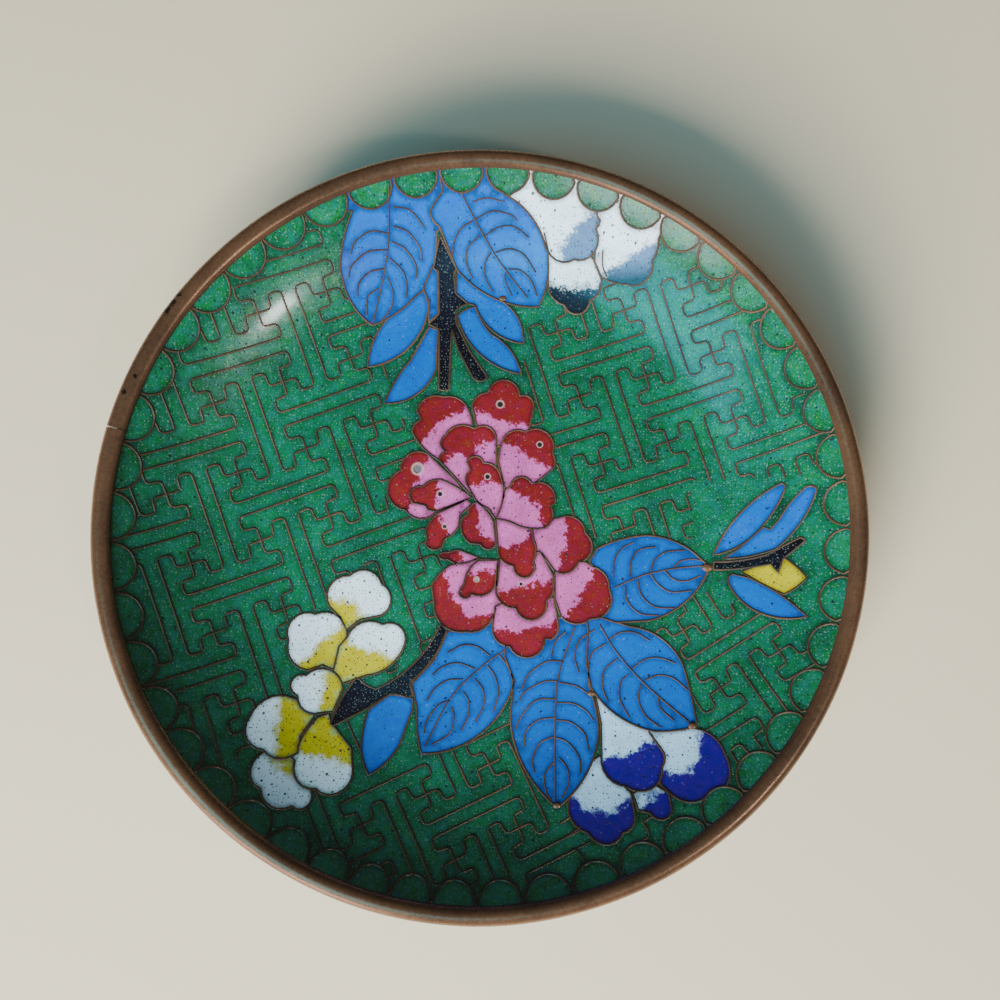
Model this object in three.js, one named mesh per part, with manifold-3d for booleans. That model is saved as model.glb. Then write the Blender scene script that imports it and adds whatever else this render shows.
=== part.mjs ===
// Cloisonne trinket dish: a shallow round copper dish, enamelled inside and out
// Millimetres, +Z up, origin at the middle of the foot ring's underside
// The copper outline wires lie in the slots between the enamel fields
import * as THREE from "three";
import { mergeVertices } from "three/addons/utils/BufferGeometryUtils.js";
import Module from "manifold-3d";

// Driving dimensions
const OUTER_DIAMETER = 100;
const DISH_HEIGHT = 16;
const FLOOR_RADIUS = 26;
const RIM_WIRE_DIAMETER = 2.6;
const RIM_SEAM_WIDTH = 0.2;
const RIM_SEAM_ANGLE = 163.7;
const FOOT_HEIGHT = 3;
const FOOT_WALL = 1.2;
const ENAMEL_THICKNESS = 0.7;
const COPPER_THICKNESS = 0.9;
const COUNTER_ENAMEL_THICKNESS = 0.6;
const LAYER_GAP = 0.05;
const CLOISON_WIDTH = 0.35;
const SCALLOP_COUNT = 48;
const SCALLOP_GAP = 0.35;
const SCALLOP_TURN = 81.75;

// Facets
const ROUND_SEGMENTS = 48;
const WALL_STEPS = 4;
const RIM_STEPS = 7;
const OUTLINE_TOLERANCE = 0.16;
const SCALLOP_FACETS = 16;

// Repeats of the fit that brings the wall square to the rim wire
const FIT_PASSES = 40;

// Longest mitre of an offset outline, over the distance moved
const MITRE_LIMIT = 1.6;

const degrees = Math.PI / 180;
const outerRadius = OUTER_DIAMETER / 2;
const rimRadius = RIM_WIRE_DIAMETER / 2;
const rimCentre = { r: outerRadius - rimRadius, z: DISH_HEIGHT - rimRadius };

// Depth of each face below the inside of the enamel, measured square to the wall
const enamelBack = ENAMEL_THICKNESS;
const copperFace = enamelBack + LAYER_GAP;
const copperBack = copperFace + COPPER_THICKNESS;
const counterFace = copperBack + LAYER_GAP;
const counterBack = counterFace + COUNTER_ENAMEL_THICKNESS;
const floorLevel = FOOT_HEIGHT + counterBack - counterFace + LAYER_GAP + copperBack;

// The wall is one arc, level where it leaves the floor, and ends square in the rim wire
const wall = fitWall();

function fitWall() {
  const seatDepth = Math.sqrt(rimRadius ** 2 - (counterBack / 2) ** 2) + LAYER_GAP;
  let slope = 45 * degrees;
  let edge = rimCentre;
  for (let pass = 0; pass < FIT_PASSES; pass += 1) {
    const along = { r: Math.cos(slope), z: Math.sin(slope) };
    edge = {
      r: rimCentre.r - along.r * seatDepth - (along.z * counterBack) / 2,
      z: rimCentre.z - along.z * seatDepth + (along.r * counterBack) / 2,
    };
    slope = 2 * Math.atan2(edge.z - floorLevel, edge.r - FLOOR_RADIUS);
  }
  return { slope, radius: (edge.r - FLOOR_RADIUS) / Math.sin(slope) };
}

// Points of one face of the dish from the axis to the lip
function face(depth) {
  const centre = floorLevel + wall.radius;
  const points = [new THREE.Vector2(0, floorLevel - depth)];
  for (let step = 0; step <= WALL_STEPS; step += 1) {
    const turn = (wall.slope * step) / WALL_STEPS;
    const reach = wall.radius + depth;
    points.push(new THREE.Vector2(
      FLOOR_RADIUS + reach * Math.sin(turn),
      centre - reach * Math.cos(turn),
    ));
  }
  return points;
}

// A solid between two faces of the dish, closed at the lip
function shellProfile(innerDepth, outerDepth) {
  return [...face(outerDepth), ...face(innerDepth).reverse()];
}

// The same, but outside the foot ring only
function skirtProfile(innerDepth, outerDepth, startRadius) {
  const outside = face(outerDepth).slice(1);
  const inside = face(innerDepth).slice(1);
  outside[0] = new THREE.Vector2(startRadius, floorLevel - outerDepth);
  inside[0] = new THREE.Vector2(startRadius, floorLevel - innerDepth);
  return [...outside, ...inside.reverse(), outside[0].clone()];
}

// A round wire with a flat seat on the end of the wall
function rimProfile() {
  const seatHalfAngle = Math.asin(counterBack / 2 / rimRadius);
  const seatDirection = wall.slope + Math.PI;
  const sweep = 2 * Math.PI - 2 * seatHalfAngle;
  const points = [];
  for (let step = 0; step <= RIM_STEPS; step += 1) {
    const turn = seatDirection + seatHalfAngle + (sweep * step) / RIM_STEPS;
    points.push(new THREE.Vector2(
      rimCentre.r + rimRadius * Math.cos(turn),
      rimCentre.z + rimRadius * Math.sin(turn),
    ));
  }
  points.push(points[0].clone());
  return points;
}

// A band with a rectangular section
function bandProfile(innerRadius, outerRadius, low, high) {
  return [
    new THREE.Vector2(innerRadius, low),
    new THREE.Vector2(outerRadius, low),
    new THREE.Vector2(outerRadius, high),
    new THREE.Vector2(innerRadius, high),
    new THREE.Vector2(innerRadius, low),
  ];
}

// Solids
const wasm = await Module();
wasm.setup();

function toManifold(geometry) {
  const bare = geometry.clone();
  bare.deleteAttribute("normal");
  bare.deleteAttribute("uv");
  const merged = mergeVertices(bare, 1e-4);
  return new wasm.Manifold(new wasm.Mesh({
    numProp: 3,
    vertProperties: new Float32Array(merged.attributes.position.array),
    triVerts: new Uint32Array(merged.index.array),
  }));
}

function toGeometry(manifold) {
  const mesh = manifold.getMesh();
  const geometry = new THREE.BufferGeometry();
  geometry.setAttribute("position", new THREE.BufferAttribute(new Float32Array(mesh.vertProperties), 3));
  geometry.setIndex(new THREE.BufferAttribute(new Uint32Array(mesh.triVerts), 1));
  geometry.computeVertexNormals();
  return geometry;
}

function turned(profile) {
  return new THREE.LatheGeometry(profile, ROUND_SEGMENTS).rotateX(Math.PI / 2);
}

// Corner points of an outline whose sides may be arcs: each corner is [x, y, bow],
// where bow is the height of the arc to the next corner over half its chord
function outlinePoints(corners, scale) {
  const points = [];
  corners.forEach(([x, y, bow], index) => {
    const [nextX, nextY] = corners[(index + 1) % corners.length];
    const start = new THREE.Vector2(x, y).multiplyScalar(scale);
    const end = new THREE.Vector2(nextX, nextY).multiplyScalar(scale);
    const chord = end.clone().sub(start);
    const angle = 4 * Math.atan(Math.abs(bow));
    const radius = bow === 0 ? Infinity : chord.length() / 2 / Math.sin(angle / 2);
    const facet = bow === 0 ? Infinity : 2 * Math.acos(Math.max(0, 1 - OUTLINE_TOLERANCE / radius));
    const pieces = Math.max(1, Math.round(angle / facet));
    const out = new THREE.Vector2(chord.y, -chord.x).normalize().multiplyScalar(Math.sign(bow));
    for (let piece = 0; piece < pieces; piece += 1) {
      const turn = angle * (piece / pieces - 0.5);
      const along = pieces === 1 ? 0 : (Math.sin(turn) * radius) / chord.length() + 0.5;
      const rise = pieces === 1 ? 0 : radius * (Math.cos(turn) - Math.cos(angle / 2));
      points.push(start.clone().addScaledVector(chord, along).addScaledVector(out, rise));
    }
  });
  return points;
}

// Moves every side of a counter-clockwise outline out by a distance, with mitred corners
function offsetOutline(points, distance) {
  return points.map((point, index) => {
    const before = points[(index + points.length - 1) % points.length];
    const after = points[(index + 1) % points.length];
    const first = point.clone().sub(before).normalize();
    const second = after.clone().sub(point).normalize();
    const normal = new THREE.Vector2(first.y + second.y, -first.x - second.x).normalize();
    const cosine = Math.max(normal.x * first.y - normal.y * first.x, 1 / MITRE_LIMIT);
    return point.clone().addScaledVector(normal, distance / cosine);
  });
}

function prism(points) {
  const shape = new THREE.Shape(points);
  const geometry = new THREE.ExtrudeGeometry(shape, { depth: 2 * DISH_HEIGHT, bevelEnabled: false });
  return toManifold(geometry.translate(0, 0, -DISH_HEIGHT / 2));
}

// Round cutters for the border's half-round fields, which hang from the rim wire's inner edge
function scallopPrisms(growth) {
  const edgeRadius = outerRadius - RIM_WIRE_DIAMETER;
  const pitch = (2 * Math.PI * edgeRadius) / SCALLOP_COUNT;
  const radius = (pitch - SCALLOP_GAP) / 2 + growth;
  let all = null;
  for (let index = 0; index < SCALLOP_COUNT; index += 1) {
    const turn = SCALLOP_TURN * degrees + (2 * Math.PI * (index + 0.5)) / SCALLOP_COUNT;
    const disc = new THREE.CylinderGeometry(radius, radius, 2 * DISH_HEIGHT, SCALLOP_FACETS);
    disc.rotateX(Math.PI / 2);
    disc.translate(edgeRadius * Math.cos(turn), edgeRadius * Math.sin(turn), DISH_HEIGHT / 2);
    const solid = toManifold(disc);
    all = all ? all.add(solid) : solid;
  }
  return all;
}

function largestBody(solid) {
  return solid.decompose().sort((one, other) => other.volume() - one.volume())[0];
}

// Enamel fields of the picture, foremost first, as [name, colour, corners]
// Corners are in hundredths of the outside diameter, counter-clockwise from above
const FIELDS = [
  ["top_stem", "black", [[-5.9, 19.4, 0.2], [-4.5, 19.4, 0], [-4.15, 28.1, 0], [-3.3, 25.2, 0],
    [-1.1, 21, 0.5], [0.9, 21.2, 0], [-1.6, 24.9, 0], [-3.5, 28.8, 0], [-3.6, 30.6, -0.15],
    [-1.8, 31.6, -0.15], [-3.6, 33, 0], [-3.85, 35.6, 0], [-3.45, 36.1, 0], [-5.7, 40.3, 0],
    [-6.7, 36.2, 0], [-5.95, 35.8, 0], [-5.95, 30.2, 0], [-7.4, 28.7, 0], [-5.95, 28, 0]]],
  ["lower_left_stem", "black", [[-5.5, -13.1, -0.2], [-14.2, -21.9, -0.15], [-16.5, -20.5, 0],
    [-17, -20.5, 0.1], [-20.1, -26.4, 0], [-19.8, -26.7, 0], [-15.2, -24.4, 0], [-12.2, -22.5, -0.1],
    [-10, -23, 0], [-9.2, -22.7, 0], [-9.5, -20.9, 0.15], [-4.6, -14, 0]]],
  ["right_stem", "black", [[31.8, -5.8, 0.05], [38.9, -5.1, 0], [39.75, -6.3, 0], [40.3, -4.5, 0],
    [42.9, -2.2, 0.5], [42.3, -1.7, 0], [38.4, -3.9, -0.08], [31.8, -4.7, 0]]],
  ["peony_petal_centre_upper", "red", [[2, 1.2, 0.1], [3.1, 4.5, 0.12], [2.6, 7.6, 0.35],
    [0.35, 9.05, 0.75], [-1.95, 9.2, 0], [-1.5, 8, 0.35], [-2.05, 6.2, 0], [-0.7, 3.75, 0.1],
    [1, 2.6, 0]]],
  ["peony_petal_centre_lower", "red", [[2.05, -1.9, 0], [1.7, 0.9, 0.12], [-0.6, 3.6, 0.35],
    [-1.8, 1.9, 0.35], [-2.75, 0.2, 0.25], [-1.5, -2.15, 0], [-0.1, -2.25, 0.55], [1.9, -2.6, 0]]],
  ["peony_petal_left_middle", "red", [[-3.1, 0.2, 0], [-2.9, 1.7, 0], [-1.3, 3.3, 0], [-2, 3.9, 0],
    [-6, 2, 0.15], [-7.6, -0.3, 0.15], [-7.35, -1.4, 0.3], [-7.5, -2.5, 0.4], [-5.4, -2.7, 0],
    [-5, -1.55, 0.2]]],
  ["peony_petal_left_small", "red", [[-0.3, -4.1, 0], [-2.3, -3.35, 0.3], [-4.2, -3.3, 0],
    [-4.6, -3.4, 0.45], [-5.8, -3.9, 0.4], [-4.6, -4.3, 0], [-3.4, -5, 0.15]]],
  ["peony_petal_bottom_small", "red", [[-0.3, -4.5, 0.15], [-2, -6.4, 0], [-2.3, -7.7, 0.15],
    [-3, -9, 0.8], [-1.3, -9.05, 0.62], [2.1, -6.8, 0], [2.3, -4.5, 0]]],
  ["peony_petal_right_lower", "red", [[2, 1.2, 0], [2.4, -3.7, 0.3], [4.45, -5.25, 0],
    [4.6, -5.95, 1.1], [7.2, -4.65, 0.25], [7.4, -2, 0.25]]],
  ["peony_petal_upper_front", "red", [[-1.5, 4.6, 0], [1, 7, 0], [2.15, 9, 0], [2.1, 12.2, 0.67],
    [-0.95, 13.85, 0.46], [-5, 12.9, 0.56], [-5, 10.6, 0.3], [-5.9, 9.5, 0]]],
  ["peony_petal_left_front", "red", [[-1.3, 4.2, 0.08], [-5.6, 6.7, 0.25], [-8.1, 5.75, 0.8],
    [-9.4, 3.45, 0], [-7.7, 3.1, 0], [-7.3, 2.45, 0], [-6.2, 2.25, 0], [-1.8, 3.95, 0]]],
  ["peony_petal_right_middle", "red", [[2.05, 1.25, 0], [5.8, 0.05, 0.12], [8.9, 0, 0.42],
    [9.65, 3, 0], [10.25, 3.5, 0.62], [7.05, 6.15, 0.75], [4, 5.7, 0], [3.3, 5.3, 0], [2.7, 2.6, 0]]],
  ["peony_petal_right_upper", "red", [[3.3, 5.4, 0], [6.5, 5.5, 0], [8.6, 7.1, 0], [9.7, 8, 0.42],
    [9.95, 10.35, 0.74], [6.15, 13.4, 0.48], [2.9, 12, 0.05], [2.35, 9.2, 0]]],
  ["peony_petal_top_left", "red", [[-1.2, 14.5, 0.12], [-2.2, 17.3, 0.3], [-5.3, 18.35, 0.28],
    [-8.2, 17.8, 0.2], [-8.95, 16.3, 0], [-8.35, 15.1, 0.35], [-9.6, 13.4, 0.15], [-6, 9.5, 0],
    [-3.5, 11, 0]]],
  ["peony_petal_top_right", "red", [[2.3, 11.3, 0], [4, 12, 0], [6.5, 13, 0], [7.35, 16.8, 0.6],
    [5.4, 18.5, 0.93], [0.95, 18.95, 0.4], [-1.25, 17, 0], [-0.7, 14.5, 0], [0.5, 12.5, 0]]],
  ["peony_petal_left_back", "red", [[-3.2, 6.2, 0], [-7.4, 10.3, 0.6], [-11.2, 8, 0.76],
    [-10.4, 2.45, 0.5], [-6.4, 2, 0], [-1.8, 3.95, 0]]],
  ["peony_petal_right_back", "red", [[9.9, 1.2, 0], [7, 0, 0], [7.3, -2, 0], [8.3, -3.5, 0],
    [10.1, -5.95, 0.5], [13.4, -4.75, 0.68], [14.4, -0.75, 0.53], [11, 1.45, 0]]],
  ["peony_petal_bottom_front", "red", [[2.6, -4.2, 0], [2.25, -7.6, 0.58], [4.75, -11, 1],
    [9, -9.95, 0.25], [10, -8.6, 0], [9.9, -6.6, 0], [8.3, -3.5, 0], [6.5, -3, 0]]],
  ["peony_petal_bottom_left", "red", [[-0.3, -4.3, 0], [-4.2, -5.15, 0.15], [-6.75, -7.9, 0],
    [-6.4, -10.2, 0.5], [-2.05, -14.2, 0.5], [1.95, -10.7, 0], [2.2, -7, 0], [2.4, -4.4, 0]]],
  ["peony_petal_bottom_right", "red", [[10.1, -6, 0], [10.1, -9.8, 0], [10.9, -12.1, 0.42],
    [15, -12.45, 0.6], [17.6, -8.5, 0.4], [15.2, -5.3, 0.2], [13.6, -4.6, 0], [12, -5, 0]]],
  ["peony_petal_bottom_back", "red", [[1.95, -10.8, 0], [1.6, -13.5, 0.46], [3.95, -16.2, 0.82],
    [8.75, -15.15, 0], [9.6, -15.25, 0.3], [10.6, -13.6, 0], [10.4, -12, 0], [9.9, -9.6, 0], [6, -9, 0]]],
  ["top_right_big_leaf", "blue", [[8, 31.05, 0.15], [9.35, 36.4, 0.3], [3.3, 44.7, 0], [2, 46, 0],
    [-3.6, 46.2, 0.1], [-6.95, 42.8, 0.25], [-5.7, 41.2, 0], [-3.4, 36.1, 0.22]]],
  ["top_left_big_leaf", "blue", [[-15.3, 28.4, 0.24], [-6.3, 37.8, 0], [-6.1, 40.5, 0], [-4.5, 42, 0],
    [-3.6, 46.2, 0], [-12.2, 45.8, 0], [-16.9, 43.9, 0], [-17.2, 42.2, 0.1], [-19.35, 36, 0.25]]],
  ["top_leaf_sliver", "blue", [[-7.35, 29, 0], [-6.1, 30.1, 0], [-6.1, 35.6, 0], [-6.7, 36.6, 0],
    [-8.1, 33.6, 0.1], [-7.3, 31.8, 0]]],
  ["top_right_leaf_upper", "blue", [[-3.6, 33, 0], [-1.9, 31.6, 0], [-0.9, 31.4, 0.3], [5.9, 26, 0.28],
    [3.2, 31.7, 0], [-3.4, 36, 0]]],
  ["top_right_leaf_lower", "blue", [[-3.4, 29.9, 0.3], [5.6, 21.6, 0.23], [1.4, 27.3, -0.1],
    [-0.9, 31.2, 0.15]]],
  ["top_left_leaf_upper", "blue", [[-15.9, 22.6, 0.34], [-7.4, 31, 0], [-7.9, 33.5, 0],
    [-13.4, 29.1, 0.17]]],
  ["top_left_leaf_lower", "blue", [[-13.5, 17.4, 0.34], [-6.3, 22.4, 0], [-6.1, 27.9, 0],
    [-7.4, 28.3, 0], [-9.9, 23.6, 0.1]]],
  ["black_petal_left", "ink", [[3.2, 44.2, 0], [8.6, 39, 0], [9.2, 38.3, 0.42], [12.95, 37, 0.74],
    [15.7, 40.4, 0.3], [16.2, 41.3, 0.15], [13.2, 43.5, 0], [12.4, 44.9, 0], [6.5, 46, 0]]],
  ["black_petal_bottom", "ink", [[9.3, 38, 0], [9.35, 33.4, 0.25], [11.7, 31.2, 0.88],
    [15.15, 31.75, 0.5], [16.4, 35, 0], [15.5, 36.9, 0], [13.5, 38.5, 0]]],
  ["black_petal_right", "ink", [[15.8, 42.3, 0], [15.7, 36.6, 0], [16.7, 34.6, 0.12],
    [20.2, 33.5, 0.68], [23.35, 36.05, 0.35], [23.6, 39, 0], [18.6, 43, 0]]],
  ["right_big_leaf", "blue", [[31.3, -5.4, 0], [29.4, -3.6, 0.18], [22.6, -1.05, 0.1], [15.9, -2.9, 0],
    [14.9, -4.7, 0], [17, -7, 0], [17.2, -9, 0], [16.2, -12.2, 0], [18.4, -12.95, 0],
    [23, -12.7, 0.2], [30.4, -7.2, 0]]],
  ["lower_right_big_leaf", "blue", [[28.6, -26.5, 0.05], [27.3, -18.6, 0.28], [20.3, -13.5, 0],
    [18.2, -12.8, 0], [15.8, -12, 0], [14.6, -14.5, 0], [14.4, -18.6, 0], [14.9, -21.6, 0.22],
    [23.2, -27.35, 0.08]]],
  ["lower_big_leaf", "blue", [[10.1, -37, 0.22], [15.9, -27.5, 0.08], [14.7, -21.5, 0],
    [14.5, -18.5, 0], [14.7, -14.5, 0], [14.4, -12.2, 0], [11, -12, 0], [8.3, -14.6, 0],
    [3.4, -16, 0], [3.3, -17.6, 0], [4.5, -20.8, 0], [4, -25.5, 0.23]]],
  ["lower_left_big_leaf", "blue", [[-7.9, -30.4, 0.34], [4.4, -21.4, 0.15], [2.9, -17.3, 0],
    [3.3, -15.5, 0], [2.2, -11.8, 0], [-2, -13.5, 0], [-4.5, -14.2, 0], [-6.3, -18, 0],
    [-9.3, -21.2, 0], [-8.55, -24.8, 0.1]]],
  ["lower_left_small_leaf", "blue", [[-12.3, -22.6, 0], [-15.1, -24.6, 0.1], [-15.9, -30, 0.1],
    [-14.8, -33, 0.15], [-10.9, -29.3, 0], [-9.2, -24.6, 0], [-9.1, -23.2, 0], [-10, -22.9, 0]]],
  ["right_leaf_upper", "blue", [[31.8, -3.8, 0.2], [38.2, 0.2, 0.1], [40.9, 5.2, 0.3],
    [40.4, 5.7, 0.18]]],
  ["right_leaf_middle", "blue", [[33, -4.3, 0.1], [39.6, -3.1, 0.16], [44.3, 4.6, 0.4], [43.2, 5, 0.1],
    [40.2, 1, 0], [39, -0.5, 0], [38.2, -0.1, 0], [35, -3, 0]]],
  ["right_leaf_lower", "blue", [[42.5, -12.1, 0.13], [36, -6.9, 0], [34.2, -6.4, 0.3],
    [33.5, -7.3, 0.4]]],
  ["yellow_bud", "yellow", [[35.3, -6.1, 0.05], [40.2, -9.2, 0.15], [42.85, -7, 0.1], [40.6, -4.4, 0],
    [38, -5, 0]]],
  ["cobalt_petal_upper", "cobalt", [[15.6, -23.1, 0], [16.2, -26.5, 0], [16.15, -30.5, 0.48],
    [19.2, -34.25, 0.6], [23.85, -31.7, 0.25], [24.2, -30, 0], [22.3, -27.2, 0], [20, -24, 0]]],
  ["cobalt_petal_right", "cobalt", [[22.5, -27.2, 0], [22.6, -31, 0], [23.6, -33.9, 0],
    [24.3, -34.5, 0.42], [28.9, -34.7, 0.5], [31.65, -29.75, 0.35], [28.4, -26.8, 0], [25.5, -25.5, 0]]],
  ["cobalt_petal_left", "cobalt", [[15.9, -30.6, 0], [13.5, -32, 0], [12.1, -35.2, 0.58],
    [13.95, -39.75, 0.6], [18.3, -39.5, 0.45], [19.95, -37, 0], [19.7, -35, 0], [18.2, -33.5, 0]]],
  ["cobalt_petal_small", "cobalt", [[19.9, -35.1, 0], [20.4, -36.9, 0], [21.8, -37.1, 0.88],
    [24.5, -35.8, 0], [24.4, -34.7, 0], [22, -33.5, 0]]],
  ["cream_petal_middle", "cream", [[-19.9, -24.9, 0], [-18.65, -21.9, 0.66], [-23.6, -20.05, 1.05],
    [-24.6, -22.75, 0.5], [-21.5, -25.05, 0]]],
  ["cream_petal_right", "cream", [[-18.8, -21.2, 0], [-15.5, -20.1, 0.3], [-10.4, -16, 0.7],
    [-13.4, -13.25, 0.47], [-18.15, -14.9, 0], [-19.3, -16.2, 0], [-20, -19.5, 0]]],
  ["cream_petal_top", "cream", [[-18.3, -14, 0], [-16.5, -12.6, 0], [-13.6, -12, 0.62],
    [-13.6, -7.7, 0.58], [-18, -6.6, 0.6], [-20.7, -10.8, 0], [-19.2, -12.3, 0]]],
  ["cream_petal_left_upper", "cream", [[-19.9, -19.4, 0], [-19.6, -17, 0], [-18.3, -15.4, 0.64],
    [-22.55, -11.85, 0.68], [-26.1, -15.4, 0.45], [-23.5, -19.4, 0], [-21.5, -18.7, 0]]],
  ["cream_petal_bottom", "cream", [[-20.4, -25.1, 0], [-21.8, -25.6, 0.12], [-24.05, -29, 0],
    [-24, -30.2, 0.6], [-21.35, -34.45, 0.76], [-16.9, -32, 0], [-17.2, -29.6, 0], [-20, -26.3, 0]]],
  ["cream_petal_left_lower", "cream", [[-22.3, -25.5, 0], [-22.5, -24, 0], [-25.2, -23, 0.46],
    [-30.35, -25.2, 0.54], [-28.3, -29.45, 0.42], [-24, -29.95, 0], [-23.9, -27.9, 0]]],
  ["cream_petal_left_bottom", "cream", [[-28.3, -29.7, 0.64], [-28, -33.95, 0.48],
    [-23.95, -36.25, 0.82], [-21.75, -35, 0], [-22.5, -32.5, 0], [-26, -29.5, 0]]],
];

const finishes = {
  copper: new THREE.MeshStandardMaterial({ color: 0x7a4a2c, roughness: 0.38, metalness: 0.95 }),
  ground: new THREE.MeshStandardMaterial({ color: 0x1f7f5a, roughness: 0.25, metalness: 0 }),
  counter: new THREE.MeshStandardMaterial({ color: 0x1d6a58, roughness: 0.3, metalness: 0 }),
  black: new THREE.MeshStandardMaterial({ color: 0x0a0c14, roughness: 0.25, metalness: 0 }),
  ink: new THREE.MeshStandardMaterial({ color: 0x6f7f9c, roughness: 0.25, metalness: 0 }),
  blue: new THREE.MeshStandardMaterial({ color: 0x0a78c8, roughness: 0.22, metalness: 0 }),
  red: new THREE.MeshStandardMaterial({ color: 0xa83a44, roughness: 0.28, metalness: 0 }),
  cream: new THREE.MeshStandardMaterial({ color: 0xdcdcc0, roughness: 0.25, metalness: 0 }),
  cobalt: new THREE.MeshStandardMaterial({ color: 0x1a1c8c, roughness: 0.22, metalness: 0 }),
  yellow: new THREE.MeshStandardMaterial({ color: 0xd2c84a, roughness: 0.25, metalness: 0 }),
};

const dish = new THREE.Group();

function addPiece(name, finish, geometry) {
  const mesh = new THREE.Mesh(geometry, finishes[finish]);
  mesh.name = name;
  dish.add(mesh);
}

// Copper body
addPiece("copper_body", "copper", turned(shellProfile(copperFace, copperBack)));

// Rim wire, bent round the lip, with its two ends meeting in a butt seam
const seam = new THREE.BoxGeometry(2 * RIM_WIRE_DIAMETER, RIM_SEAM_WIDTH, 2 * RIM_WIRE_DIAMETER);
seam.translate(rimCentre.r, 0, rimCentre.z).rotateZ(RIM_SEAM_ANGLE * degrees);
addPiece("rim_wire", "copper", toGeometry(toManifold(turned(rimProfile())).subtract(toManifold(seam))));

// Foot ring under the edge of the flat floor
const copperUnderside = floorLevel - copperBack;
const footInner = FLOOR_RADIUS - FOOT_WALL;
const footTop = copperUnderside - LAYER_GAP;
addPiece("foot_ring", "copper", turned(bandProfile(footInner, FLOOR_RADIUS, 0, footTop)));

// Counter-enamel, inside the foot ring and on the wall outside it
const baseEdge = footInner - LAYER_GAP;
addPiece("counter_enamel_base", "counter", turned([
  new THREE.Vector2(0, floorLevel - counterBack),
  new THREE.Vector2(baseEdge, floorLevel - counterBack),
  new THREE.Vector2(baseEdge, floorLevel - counterFace),
  new THREE.Vector2(0, floorLevel - counterFace),
]));
const skirtStart = FLOOR_RADIUS + LAYER_GAP;
addPiece("counter_enamel_wall", "counter", turned(skirtProfile(counterFace, counterBack, skirtStart)));

// Picture: each field is cut from the enamel layer, less the border and the fields in front of it
const enamel = toManifold(turned(shellProfile(0, enamelBack)));
const motifScale = OUTER_DIAMETER / 100;
const halfWire = CLOISON_WIDTH / 2;
const scallops = scallopPrisms(halfWire);
let inFront = null;
for (const [name, finish, corners] of FIELDS) {
  const outline = outlinePoints(corners, motifScale);
  let field = enamel.intersect(prism(offsetOutline(outline, -halfWire))).subtract(scallops);
  if (inFront) {
    field = field.subtract(inFront);
  }
  addPiece(name, finish, toGeometry(largestBody(field)));
  const outer = prism(offsetOutline(outline, halfWire));
  inFront = inFront ? inFront.add(outer) : outer;
}
const picture = inFront.subtract(scallopPrisms(-halfWire));
addPiece("ground_enamel", "ground", toGeometry(largestBody(enamel.subtract(picture))));

export default dish;
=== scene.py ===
import math

import bpy
import numpy as np
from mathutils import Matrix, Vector, kdtree
from mathutils.geometry import delaunay_2d_cdt


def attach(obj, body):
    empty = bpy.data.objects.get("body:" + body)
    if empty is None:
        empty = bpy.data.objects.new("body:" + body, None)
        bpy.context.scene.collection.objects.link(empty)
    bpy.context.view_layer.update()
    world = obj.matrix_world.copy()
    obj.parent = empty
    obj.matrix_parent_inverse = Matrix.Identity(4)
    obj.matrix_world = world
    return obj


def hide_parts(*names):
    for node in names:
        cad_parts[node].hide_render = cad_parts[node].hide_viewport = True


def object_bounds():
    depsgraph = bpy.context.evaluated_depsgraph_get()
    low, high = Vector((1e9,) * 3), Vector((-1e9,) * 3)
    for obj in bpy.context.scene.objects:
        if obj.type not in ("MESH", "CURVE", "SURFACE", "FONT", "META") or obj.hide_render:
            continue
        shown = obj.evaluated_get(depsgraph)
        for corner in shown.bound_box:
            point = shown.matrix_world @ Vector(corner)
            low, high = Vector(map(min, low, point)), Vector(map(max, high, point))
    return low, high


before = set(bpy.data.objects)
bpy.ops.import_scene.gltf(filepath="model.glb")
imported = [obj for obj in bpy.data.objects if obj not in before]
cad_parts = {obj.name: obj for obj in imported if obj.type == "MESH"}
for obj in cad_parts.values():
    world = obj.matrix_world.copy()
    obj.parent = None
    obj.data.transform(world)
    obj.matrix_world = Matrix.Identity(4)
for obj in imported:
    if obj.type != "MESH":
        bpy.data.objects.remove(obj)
CAD_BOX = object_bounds()

bl_info = {
    "name": "Cloisonne trinket dish",
    "version": (1, 0, 0),
    "blender": (4, 5, 0),
    "location": "View3D > Sidebar > Dish",
    "description": "Builds an enamelled copper trinket dish with an inlaid picture",
    "category": "Object",
}

MM = 0.001
EXTENT = CAD_BOX[1] - CAD_BOX[0]

# Radius of the dish that the tables below are drawn for
DRAWN_RADIUS = 50

# Labels of the enamel outside the picture's fields
GROUND = -1
BORDER = -2

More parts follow.
